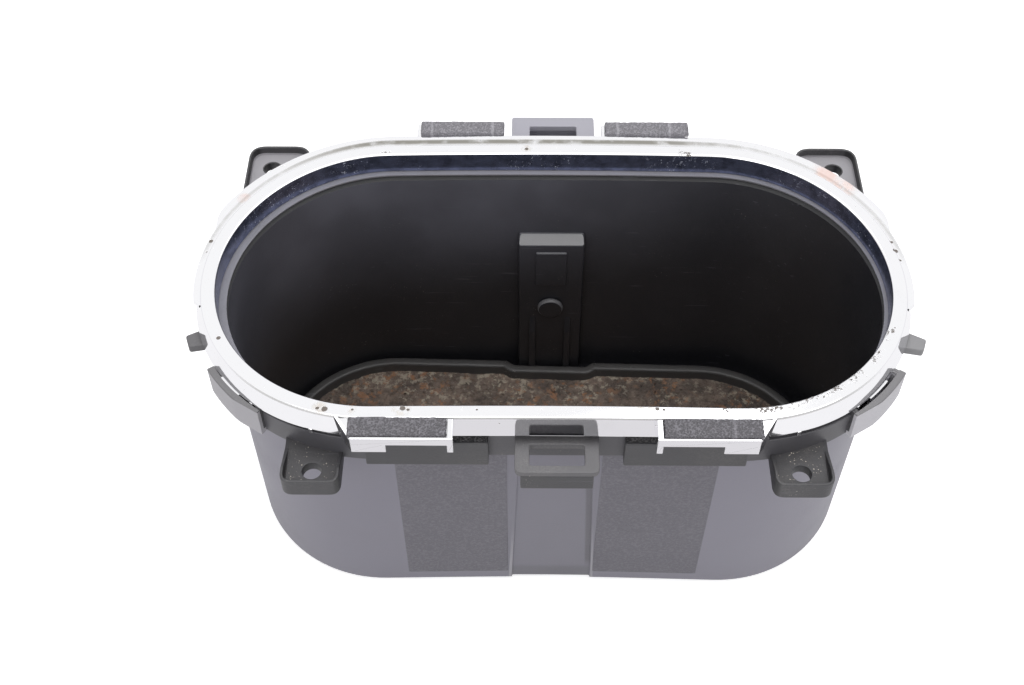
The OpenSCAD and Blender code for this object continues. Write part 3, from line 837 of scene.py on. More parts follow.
@dataclass
class Bin:
    """Moulded bin: bucket, collar, rails, ears, catches, guards, nubs and ledge blocks."""

    collar_r: float = 50.2
    collar_z: float = 80.3
    rib: tuple[float, float] = (48.4, 49.6)
    rib_top: float = 96.1
    channel: tuple[float, float] = (-10.8, 11.2)
    channel_depth: float = 0.7
    bow: float = 1.1
    mouth_round: float = 1.15
    panels: tuple = ((-43.7, -13.1), (12.8, 44.7))
    panel_z: tuple[float, float] = (5.5, 78.5)
    panel_rise: float = 0.22
    ear_low: float = 79.8
    ear_top: float = 86.0
    tray: float = 83.0
    hole_r: float = 2.5
    front_hole: tuple[float, float] = (63.75, -57.2)
    rear_hole: tuple[float, float] = (87.15, 55.6)
    finish: dict[str, Material] = field(default_factory=dict)

    def dress(self) -> None:
        """Makes the bin's finishes, from its outside to its palest details."""
        plain = BlackPlastic.dust
        grain, rim = {"grain": 0.00009}, {"rim": 90.5}
        for key, name, colour, dust, share, specks, rough, more in (
                # The outside is painted paler than the collar: a painted reflection of the white floor
                # below it
                ("outer", "outside", (0.205, 0.197, 0.240), (0.28, 0.27, 0.285), 0.3, 0.1, 0.42,
                 {"panels": True}),
                ("collar", "collar", (0.082, 0.080, 0.089), plain, 0.3, 0.3, 0.42, {}),
                ("inner", "inside", (0.021, 0.021, 0.025), plain, 0.07, 0.2, 0.36, {"glow": True}),
                ("ledge", "seat", (0.30, 0.295, 0.325), (0.16, 0.155, 0.165), 0.6, 0.3, 0.4, {}),
                ("parts", "details", (0.062, 0.061, 0.066), plain, 0.35, 0.75, 0.48, grain),
                ("shelf", "shelf", (0.125, 0.122, 0.129), (0.26, 0.25, 0.25), 0.6, 0.7, 0.48, {}),
                ("pale", "pale", (0.37, 0.36, 0.385), (0.44, 0.43, 0.44), 0.4, 0.1, 0.45, grain | rim),
                ("dark", "dark", (0.022, 0.022, 0.025), (0.05, 0.05, 0.055), 0.2, 0.1, 0.45, {}),
                ("ear", "ear", (0.060, 0.059, 0.064), (0.17, 0.165, 0.16), 0.6, 0.8, 0.48,
                 grain | {"shaded": True}),
                ("lit", "lit", (0.54, 0.53, 0.565), (0.60, 0.59, 0.62), 0.4, 0.1, 0.45, grain | rim),
                # A paler grey copy, painted light for faces the light falls on: the rails' top slopes and
                # the right nub
                ("lit_grey", "lit_grey", (0.25, 0.248, 0.256), (0.33, 0.32, 0.33), 0.4, 0.1, 0.4, {}),
                ("dusty", "dusty", (0.062, 0.060, 0.064), (0.17, 0.16, 0.15), 0.6, 0.9, 0.48,
                 grain | {"crumbs": True}),
                ("palest", "palest", (0.38, 0.375, 0.425), (0.45, 0.44, 0.46), 0.3, 0.1, 0.45, {})):
            plastic = BlackPlastic(f"black_plastic_{name}", colour, dust, share, specks, rough, **more)
            self.finish[key] = plastic.make()

    def put(self, shape: Shape, name: str, *finishes: str) -> None:
        """Builds a piece that stands for the bin, in the finishes of those names."""
        materials = [self.finish[key] for key in finishes or ("parts",)]
        shape.build(name, materials, "bin", "black_plastic")

    def shell_rows(self) -> tuple[Array, Array]:
        """The shell's section, up the outside from the foot, over the rib and down the inside.

        Returns:
            Rows of (half spacing, radius, z, share of the arch's drop), and each strip's skin.
        """
        rows, skins = [], []

        def to(s: float, r: float, z: float, drop: float = 0.0, skin: Skin = Skin.OUTER) -> None:
            """Adds a row and the finish of the strip below it."""
            rows.append((float(s), float(r), z, drop))
            skins.append(skin.value)

        g, wall = SLOT, SLOT.wall
        to(g.spread(0), g.radius(0) + wall - 1.9, 0)
        to(g.spread(0), g.radius(0) + wall - 1.5, 0.1)
        to(g.spread(0), g.radius(0) + wall - 1.5, 0.4)
        inset, rise = quarter(1.2, 5)
        for i, h in zip(inset, rise):
            to(g.spread(0.4 + h), g.radius(0.4 + h) + wall - i, 0.4 + h)
        lo, hi = self.panel_z
        for z in (3, lo - 0.2, lo + 0.2, *np.linspace(9, 74, 17), hi - 0.2, hi + 0.2, 79.5, 80.1):
            to(g.spread(z), g.radius(z) + wall, z)
        c = self.collar_z
        m, edge, top = g.mouth_z, self.collar_r, self.rib_top
        rib_in, rib_out = self.rib
        for r, z, drop in ((g.radius(c) + wall + 0.3, c, 0), (edge - 0.3, c, 0), (edge - 0.08, c + 0.1, 0),
                           (edge, c + 0.35, 0), (edge, c + 4, 0), (edge, m - 0.4, 1),
                           (edge - 0.12, m - 0.12, 1), (edge - 0.4, m, 1), (rib_out, m + 0.02, 1),
                           (rib_out, top - 0.2, 1), (rib_out - 0.2, top, 1), (rib_in + 0.2, top, 1),
                           (rib_in, top - 0.2, 1), (rib_in, m, 1)):
            to(g.half, r, z, drop, Skin.COLLAR)
        inset, rise = quarter(self.mouth_round, 6)
        for i, (r, h) in enumerate(zip(g.mouth_r + inset[::-1], rise[::-1])):
            to(g.half, r, m - self.mouth_round + h, 1, Skin.LEDGE if i < 3 else Skin.EDGE)
        to(g.spread(m - 2.2), g.radius(m - 2.2), m - 2.2, 1, Skin.EDGE)
        for z in np.linspace(86, 7, 20):
            to(g.spread(z), g.radius(z), z, 0, Skin.INNER)
        inset, rise = quarter(2.5, 5)
        for i, h in zip(inset[::-1], rise[::-1]):
            to(g.spread(2.5 + h), g.radius(2.5 + h) - i, 2.5 + h, 0, Skin.INNER)
        return np.array(rows), np.array(skins[1:])

    def shell(self) -> None:
        """Bucket, collar and rib.

        Outside, the straights are let in at the channels and raised at the panels.
        """
        near = []
        for edge in (*self.channel, *self.panels[0], *self.panels[1]):
            near += [edge - 0.35, edge - 0.12, edge + 0.12, edge + 0.35]
        stations = SLOT.stations(extra=tuple(near))
        rows, skins = self.shell_rows()
        p = SLOT.surface(rows, stations)
        flat = np.abs(stations[0])[None] < 0.999
        outside = (rows[:, 2:3] < 80.2) & (np.arange(len(rows)) < 40)[:, None]
        x, z, side = p[..., 0], p[..., 2], np.sign(p[..., 1])
        depth = self.channel_depth * window(x, *self.channel, 0.5)
        bow = self.bow * (1 - smooth(np.abs(x) / 75)) * smooth(1 - z / 60)
        rise = self.panel_rise * (window(x, *self.panels[0], 0.3) + window(x, *self.panels[1], 0.3)) \
            * window(z, *self.panel_z, 0.5) * (side < 0)
        p[..., 1] += side * np.where(outside & flat, rise - depth, 0) - side * np.where(outside, bow, 0)
        # The channel's edges lean out towards the foot, its columns with them
        lean = LEAN * (1 - z / LEAN_Z) * window(np.abs(x), 6, 12.1, 4) * np.sign(x)
        p[..., 0] += np.where(outside & flat & (side < 0), lean, 0)
        shape = Shape()
        shape.grid(p, skin=skins, caps=(True, True))
        self.put(shape, "bin_shell", "outer", "inner", "ledge", "collar", "dark")

    def rails(self) -> None:
        """Divider rail, raised pad, round stop and two guide ribs on each long wall."""
        for side in Side:
            rail = Shape()
            r = SLOT.radius
            z1, z2, t = 67.0, 64.6, 3.5
            body = rounded([(-r(1.8) + 0.7, 1.8), (-r(1.8) + t, 1.8), (-r(z2) + t, z2), (-r(z1) + 0.2, z1),
                            (-r(z1) - 0.3, z1), (-r(8), 8)], [0.1, 0.3, 0.5, 0.5, 0.1, 0.1])
            prism(rail, body, -10.4, 10.4, 0.9, "x")
            slope = [(-10.2, z2 + 0.15), (10.2, z2 + 0.15), (9.9, z1 - 0.2), (-9.9, z1 - 0.2)]
            u = rounded(slope, [0.5, 0.5, 0.9, 0.9])
            lean = (u[:, 1:] - z2) / (z1 - z2)
            sheet = np.hstack([u[:, :1], -r(z2) + t + lean * (r(z2) - t - r(z1) + 0.2), u[:, 1:]])
            rise = np.array([[0, -0.02, 0.02], [0, 0.035, 0.03]])[:, None]
            # The slope takes the second finish: painted light, as it faces up to the light
            rail.grid(sheet[None] + rise, skin=1, caps=(False, True))
            p1, p0 = z2 - 2.4, z2 - 17.4
            pad = rounded([(-r(p0) + t - 0.5, p0), (-r(p0) + t + 0.6, p0 + 0.6),
                           (-r(p1) + t + 0.6, p1 - 0.6), (-r(p1) + t - 0.5, p1)], 0.2)
            prism(rail, pad, -5.0, 5.0, 0.5, "x")
            low = p0 - 1.2 * 8.2
            rim = np.radians(np.arange(0, 360, 7.5))
            disc = np.stack([4.1 * np.cos(rim), low + 4.1 * np.sin(rim)], 1)
            # The rounded edge of the stop's face takes the paler third finish: a painted highlight ring
            prism(rail, disc, float(r(low)) - t - 1.8, float(r(low)) - t + 0.4, 0.8, "y",
                  skin=np.array([0, 2, 2, 2, 0, 0, 0]))
            for x in (-5.8, 5.8):
                foot = rounded([(-r(9) + t - 0.5, 9), (-r(9) + t + 1.5, 9), (-r(26) + t + 1.3, 26),
                                (-r(35) + t - 0.5, 35)], 0.4)
                prism(rail, foot, x - 1.1, x + 1.1, 0.4, "x")
            if side is Side.BACK:
                rail.points = [np.vstack(rail.points) * [-1, -1, 1]]
            self.put(rail, f"bin_rail_{side.name.lower()}", "inner", "lit_grey", "shelf")

    def ears(self) -> None:
        """Four ears: a band from each outline over the rim into the tray and down the screw hole."""
        lo, hi, tray = self.ear_low, self.ear_top, self.tray
        rows = [(1, 0.5, lo), (1, 0.15, lo + 0.12), (1, 0, lo + 0.5), (1, 0, hi - 0.3), (1, 0.1, hi - 0.1),
                (1, 0.3, hi), (1, 0.6, hi), (1, 0.8, hi - 0.1), (1, 0.9, hi - 0.3), (1, 0.95, tray + 0.8),
                (1, 1.2, tray + 0.2), (1, 1.8, tray), (0, 0.45, tray), (0, 0.1, tray - 0.12),
                (0, 0, tray - 0.4), (0, 0, lo + 0.3), (0, 0.3, lo)]
        boxes = {Side.FRONT: (56.05, 71.45, -40.0, -62.8, self.front_hole, 3.0),
                 Side.BACK: (75.35, 94.25, 28.0, 62.6, self.rear_hole, 5.0)}
        for side, (x0, x1, y0, y1, hole, corner) in boxes.items():
            lo_y, hi_y = min(y0, y1), max(y0, y1)
            outer = self.even(oblong(x0, x1, lo_y, hi_y, corner, 8))
            gap = outer - np.array(hole)
            inner = np.array(hole) + self.hole_r * gap / np.linalg.norm(gap, axis=1)[:, None]
            ear = Shape()
            # The second finish is the tray's
            framed(ear, outer, inner, rows, (np.arange(len(rows)) // 3 == 3).astype(int))
            ear.bend(tuck(TUCK))
            if side is Side.FRONT:
                ear.bend(self.dipped)
            other = ear.mirrored()
            tray_finish = "dusty" if side is Side.FRONT else "pale"
            self.put(ear, f"bin_ear_{side.name.lower()}_right", "ear", tray_finish)
            self.put(other, f"bin_ear_{side.name.lower()}_left", "ear", tray_finish)

    def dipped(self, p: Array) -> Array:
        """Brings a front ear's rim down to its tray, in step with |y| from 58.2 in to the collar."""
        share = np.clip((np.abs(p[:, 1]) - self.collar_r) / 8.0, 0, 1)
        over = np.maximum(p[:, 2] - self.tray, 0)
        return np.stack([p[:, 0], p[:, 1], p[:, 2] - over * (1 - share)], 1)

    @staticmethod
    def even(loop: Array, count: int = 128) -> Array:
        """The outline again, with points at even steps along it."""
        closed = np.vstack([loop, loop[:1]])
        along = np.concatenate([[0], np.cumsum(np.linalg.norm(np.diff(closed, axis=0), axis=1))])
        t = np.linspace(0, along[-1], count, endpoint=False)
        return np.stack([np.interp(t, along, closed[:, k]) for k in range(2)], 1)

    def catches(self) -> None:
        """Front catch with its hanging lip, and rear catch on two cheeks, each a frame round a window."""
        def frame_rows(z0: float, z1: float) -> list[tuple[float, float, float]]:
            """Section of a flat frame with rounded edges."""
            return [(1, 0.35, z0), (1, 0, z0 + 0.35), (1, 0, z1 - 0.35), (1, 0.1, z1 - 0.1), (1, 0.35, z1),
                    (0, 0.35, z1), (0, 0.1, z1 - 0.1), (0, 0, z1 - 0.35), (0, 0, z0 + 0.3), (0, 0.3, z0)]

        def box(x: float, y0: float, y1: float, r: float | list[float]) -> Array:
            """Anticlockwise rounded rectangle, 2x wide, from y0 to y1."""
            return oblong(-x, x, y0, y1, r, 5)

        front = Shape()
        framed(front, box(10.9, -62.2, -47.5, [2.2, 2.2, 0.2, 0.2]), box(7.1, -59.8, -53.4, 0.7),
               frame_rows(87.9, 90.0))
        self.put(front, "bin_catch_front", "shelf")
        lip = Shape()
        prism(lip, oblong(-9.4, 9.4, -62.35, -60.1, 0.5), 82.8, 88.6, 0.45)
        self.put(lip, "bin_catch_lip")
        rear = Shape()
        framed(rear, box(12.6, 54.0, 66.3, [0.3, 0.3, 0.8, 0.8]), box(7.1, 57.2, 62.1, 0.5),
               frame_rows(92.9, 95.0))
        prism(rear, oblong(-12.55, 12.55, 64.2, 66.25, [0.2, 0.2, 0.8, 0.8]),
              84.0, 94.6, 0.35)
        for x in (-11.6, 11.6):
            cheek = rounded([(54.05, 94.7), (54.05, 90.4), (48.4, 90.4), (48.4, 80.4), (55.2, 80.4),
                             (66.1, 84.2), (66.1, 94.5)], 0.3)
            prism(rear, cheek, x - 0.95, x + 0.95, 0.3, "x")
        self.put(rear, "bin_catch_rear", "palest")

    @staticmethod
    def swept(shape: Shape, section: Array, a0: float, a1: float, cap: Change | None = None) -> None:
        """Adds a section of radius and height carried round the right end centre, towards the front.

        Args:
            shape: Where the faces go.
            section: Anticlockwise outline of (radius, height).
            a0, a1: Angles from the X axis, in degrees.
            cap: Gives the greatest radius at an angle, where there is one.
        """
        t = np.radians(np.linspace(a0, a1, 25))
        r = section[:, :1] + 0 * t
        if cap is not None:
            r = np.minimum(r, cap(t))
        p = np.stack([SLOT.half + r * np.cos(t), -r * np.sin(t), section[:, 1:] + 0 * t], -1)
        shape.grid(p.transpose(1, 0, 2), caps=(True, True))

    def guards(self) -> None:
        """Curved guards with a pocket behind, flattened at their front end, and tapered nubs.

        The guard's radius is held to 54.1 / cos(57.7 - angle); its ends are closed by two short
        prisms that run back to the collar.
        """
        r1, r2, z0, z1 = 53.2, 55.2, 81.0, 91.0
        section = rounded([(r1, z0 + 1.5), (r1 - 3.6, z0 + 1.5), (r1 - 3.6, z0), (r2, z0),
                           (r2, z1), (r1, z1)], [0.4, 0.1, 0.1, 0.5, 0.4, 0.3], 5)
        ends = Shape()
        self.swept(ends, section, 33, 55, lambda t: 54.1 / np.cos(math.radians(57.7) - t))
        for a, reach in ((33.9, 54.9), (54.1, 53.9)):
            strip = spoke(a, ((48.0, -0.8), (reach, -0.8), (reach, 0.8), (48.0, 0.8)))
            prism(ends, rounded(strip, 0.3), z0 + 0.05, z1 - 0.05, 0.35, skin=2 * int(a > 50))
        nub = rounded(spoke(19.6, ((48.5, -3.4), (57.0, -2.1), (57.0, 2.1), (48.5, 3.4))), 0.8)
        prism(ends, nub, 86.6, 89.4, 0.5, skin=1)
        # The right guard and nub take paler copies of the left's finishes: painted light, as more light
        # falls from the right
        self.put(ends.mirrored(), "bin_guard_left", "pale", "shelf", "parts")
        self.put(ends, "bin_guard_right", "lit", "lit_grey", "parts")

    def bands(self) -> None:
        """Thicker stretch of the collar from each guard past the front ear to the ledge block."""
        band = Shape()
        top = SLOT.mouth_z
        section = oblong(49.0, 52.4, 81.25, top, [0.1, 0.35, 0.3, 0.1], 5)
        self.swept(band, section, 54, 88)

        def arched(p: Array) -> Array:
            """Lowers the upper edge by the arch's drop."""
            return np.hstack([p[:, :2], p[:, 2:] - SLOT.arch(p[:, :1]) * (p[:, 2:] > top - 2)])

        band.bend(arched)
        self.put(band.mirrored(), "bin_band_left", "collar")
        self.put(band, "bin_band_right", "collar")

    def blocks(self) -> None:
        """Ledge blocks under the front brackets, their backs tucked into the collar."""
        block = Shape()
        prism(block, oblong(17.8, 50.2, -52.4, -46, 0.5), 78.8, 88.6, 0.45)
        block.bend(tuck(TUCK))
        self.put(block.mirrored(), "bin_block_left")
        self.put(block, "bin_block_right")

    def build(self) -> None:
        """Makes every piece of the bin."""
        self.dress()
        self.shell()
        self.rails()
        self.ears()
        self.catches()
        self.guards()
        self.bands()
        self.blocks()


# The trim ring


@dataclass
class TrimRing:
    """Plated ring: arched band, front brackets, rear ledge with its plates, and hooks."""

    face: float = 4.0
    flare: float = 2.15
    skirt: float = 5.4
    lip: float = 6.8
    wall: float = 1.4
    plate_z: float = 96.8
    plating: Material = field(default=None)
    lip_reflection: Material = field(default=None)
    skirting: Material = field(default=None)

    def put(self, shape: Shape, name: str) -> None:
        """Builds a piece that stands for the ring."""
        shape.build(name, [self.plating, self.lip_reflection, self.skirting], "trim_ring", "plated_trim")

    def band(self) -> None:
        """The ring: a rounded section, drawn outwards from the opening, carried round the arched slot."""
        f, w = self.face, self.wall
        section = rounded([(0, -self.lip), (0.9, -self.lip), (w, -w), (f - w + 0.3, -w),
                           (f + self.flare - w, -self.skirt), (f + self.flare, -self.skirt), (f, 0),
                           (0, 0)][::-1],
                          [0.6, 0.5, 0.3, 0.3, 0.3, 0.3, 0.25, 0.25], 6)[::-1]
        rows = np.stack([np.full(len(section), SLOT.half), SLOT.opening + section[:, 0],
                         SLOT.top + section[:, 1], np.ones(len(section))], 1)
        ring = Shape()
        # The lip's inner face, below its rounded top edge, takes the painted reflection; the skirt's outer
        # face has its finish
        ahead = np.roll(section, -1, 0)
        inside = (section[:, 0] < 0.05) & (ahead[:, 0] < 0.05)
        rising = (ahead[:, 1] > section[:, 1]) & (section[:, 1] < -0.2)
        skirt = (section[:, 0] > f) & (ahead[:, 0] > f - 0.01) & rising
        ring.grid(SLOT.surface(rows, SLOT.stations(72)), wrap_rows=True, skin=inside + 2 * skirt)
        self.put(ring, "ring_band")

    def brackets(self) -> None:
        """Front brackets: plate, lip, side plate, wide leg and slanted gusset, let into the skirt."""
        bracket = Shape()
        x0, x1, y1, top = 26.7, 52.1, -57.4, self.plate_z
        low, back, rise = top - 2 - 3.1, y1 + 0.2, 0.9
        plate = [(x0 - 0.7, -45), (x0 - 0.7, back), (x1 - 0.7, back), (x1 + 3.7, -50.2), (x1 + 3.7, -45)]
        prism(bracket, rounded(plate, 0.25), top - 2, top, 0.25)
        bar = [(x0 - 0.8, top - 2), (x1, top - 2), (x1, top + rise), (x0 - 0.8, top + rise)]
        prism(bracket, rounded(bar, 0.2, 4), 56.7, -y1, 0.2, "y")
        for a, b in ((x0 - 0.8, x0 + 0.8), (x1 - 9, x1)):
            leg = [(a, low), (b, low), (b, top - 1.5), (a, top - 1.5)]
            prism(bracket, rounded(leg, 0.2, 4), 56.0, -y1 - 0.06, 0.2, "y")
        side = oblong(back, -45, low + 0.05, top + 0.85, 0.25)
        prism(bracket, side, x0 - 0.75, x0 + 0.8, 0.25, "x")
        gusset = Shape()
        strip = [(x1, back), (x1 + 4.6, y1 + 7.75), (x1 + 3.57, y1 + 8.36), (x1 - 1.03, y1 + 0.81)]
        prism(gusset, rounded(strip, 0.15), low, top + rise, 0.2)

        def stepped(p: Array) -> Array:
            """Holds the top level for a third of the run, then lets it rise to the ring."""
            run = np.clip((p[:, 1:2] - y1) / 7.75 * 1.5 - 0.5, 0, 1)
            return np.hstack([p[:, :2], np.where(p[:, 2:] > top, top + (p[:, 2:] - top) * run, p[:, 2:])])

        gusset.bend(stepped)
        bracket.join(gusset).bend(tuck(51.0))
        self.put(bracket.mirrored(), "ring_bracket_left")
        self.put(bracket, "ring_bracket_right")

    def rear(self) -> None:
        """Flat ledge round the back, narrowing to nothing at the ends, and the plates for the rear pads.

        Its outer radius is 55.35, or 49.65 / cos(angle) where that is less, but 52.8 at the least.
        """
        ledge = Shape()
        a, nx, ny = SLOT.stations(72)
        # Rolled to start at the middle of the front, so that the part that is kept is in one run
        middle = np.argmin(np.abs(a) + 9 * (ny > -0.5))
        a, nx, ny = (np.roll(v, -middle) for v in (a, nx, ny))
        some = ny > -0.245
        stations = a[some], nx[some], ny[some]
        reach = np.minimum(55.35, 49.65 / np.maximum(np.abs(nx[some]), 0.5))
        reach = np.maximum(reach, 52.8 - 2.3 * smooth((-0.17 - ny[some]) / 0.075))
        inner = 50.3
        section = oblong(0, 5.05, -1.6, 0, [0.1, 0.3, 0.4, 0.1], 5)
        rows = np.stack([np.full(len(section), SLOT.half), section[:, 0], SLOT.top - 0.5 + section[:, 1],
                         np.ones(len(section))], 1)
        p = SLOT.surface(rows, stations)
        out = inner + section[:, :1] * (reach - inner) / 5.05 - section[:, :1]
        p[..., 0] += out * stations[1]
        p[..., 1] += out * stations[2]
        p[..., 2] = rows[:, 2:3] - SLOT.arch(p[..., 0])
        ledge.grid(p, wrap_rows=True, wrap_cols=False)
        for e in (-1, 1):
            a, b = sorted((e * 15.2, e * 40.6))
            plate = oblong(a, b, 54.15, 60.75, 0.3)
            prism(ledge, plate, self.plate_z - 2, self.plate_z, 0.25)
        self.put(ledge, "ring_ledge")

    def hooks(self) -> None:
        """At each front corner, a tongue that reaches into the guard's pocket and two small ribs."""
        t = -np.radians(np.linspace(38.5, 47, 9))
        loop = np.vstack([np.stack([SLOT.half + r * np.cos(s), r * np.sin(s)], 1)
                          for r, s in ((52.9, t[::-1]), (52.1, t))])
        hook = Shape()
        prism(hook, loop[::-1], 85.4, 91.0, 0.12)
        for a in (52.0, 72.5):
            rib = spoke(a, ((51.7, -0.5), (52.8, -0.5), (52.8, 0.5), (51.7, 0.5)))
            skirt = SLOT.top - self.skirt - float(SLOT.arch(rib[0][0]))
            prism(hook, rounded(rib, 0.15), skirt - 1.5, skirt + 0.3, 0.12)
        self.put(hook.mirrored(), "ring_hook_left")
        self.put(hook, "ring_hook_right")

    def build(self) -> None:
        """Makes every piece of the ring."""
        self.plating = PlatedTrim().make()
        self.lip_reflection = LipReflectionTrim().make()
        self.skirting = PlatedTrim("plated_skirt", droop=0.22).make()
        self.band()
        self.brackets()
        self.rear()
        self.hooks()


# Foam


@dataclass
class FoamPad:
    """A strip of foam: a box whose faces are worn by random relief and whose edges are ragged."""

    name: str
    node: str
    lo: tuple[float, float, float]
    hi: tuple[float, float, float]
    slot: str
    material: Material
    wear: float = 0.22
    step: float = 0.3
    seed: int = 1

    def build(self) -> bpy.types.Object:
        """A ball of grid points pressed onto the box.

        The columns go round the strip's section and the rows along x. The section is a rounded
        rectangle, which the first and last rows draw in; every point then moves in by up to the
        wear, along the section's normal.
        """
        (x0, y0, z0), (x1, y1, z1) = self.lo, self.hi
        loop = Bin.even(oblong(y0, y1, z0, z1, [0.1, 0.1, 0.35, 0.35], 5),
                        int(2 * (y1 - y0 + z1 - z0) / self.step))
        x = np.linspace(x0, x1, int((x1 - x0) / self.step))
        inset = np.zeros_like(x)
        inset[[0, -1]] = 0.25
        flat = loop[None] - inset[:, None, None] * outward(loop)
        p = np.concatenate([np.broadcast_to(x[:, None, None], flat.shape[:2] + (1,)), flat], -1)
        rough = 0.5 + 0.5 * bumps(p[..., 0], p[..., 1], p[..., 2], 2.2, self.seed, 4)
        normal = np.concatenate([np.zeros((len(loop), 1)), outward(loop)], 1)
        top = smooth((p[..., 2:] - z0) / (z1 - z0))
        p = p - normal * (self.wear * np.clip(rough, 0, 1)[..., None] * top)
        tear = self.wear * bumps(p[..., 1], p[..., 2], 0 * x[:, None], 1.8, self.seed + 5, 3)
        end = window(x, x0 + 0.7, x1 - 0.7, 0.8)[:, None]
        p[..., 0] += np.abs(tear) * (1 - end) * np.sign((x0 + x1) / 2 - x)[:, None] * 1.5
        shape = Shape()
        shape.grid(p, caps=(True, True))
        piece = shape.build(self.name, [self.material], self.node, self.slot, 60)
        return piece


def foam_strips() -> None:
    """Makes the four pads on the ring's brackets and the two strips on the ledge blocks."""
    grey = Foam("foam_grey", (0.235, 0.228, 0.250), (0.130, 0.126, 0.136), creases=(45.5,)).make()
    light = Foam("foam_light", (0.335, 0.325, 0.355), (0.215, 0.210, 0.228),
                 creases=(-36.2, -17.9, 20.1, 35.9)).make()
    black = Foam("foam_black", (0.085, 0.082, 0.085), (0.012, 0.012, 0.013)).make()
    seed = 3
    # The rear pads sit a little to the right of their plates
    for node, slot, material, shift, near, far in (
            ("foam_front", "foam_pad", grey, 0, (27.6, -56.6, 96.82), (52.9, -50.7, 98.3)),
            ("foam_rear", "foam_pad", light, 1.0, (15.2, 55.45, 96.82), (40.6, 60.75, 98.3)),
            ("seal", "foam_strip", black, 0, (17.85, -51.75, 88.62), (47.3, -50.3, 91.2))):
        for side, e in (("left", -1), ("right", 1)):
            a, b = sorted((e * near[0], e * far[0]))
            lo, hi = (a + shift, *near[1:]), (b + shift, *far[1:])
            FoamPad(f"{node}_{side}_foam", f"{node}_{side}", lo, hi, slot, material, seed=seed).build()
            seed += 7


# The floor mat


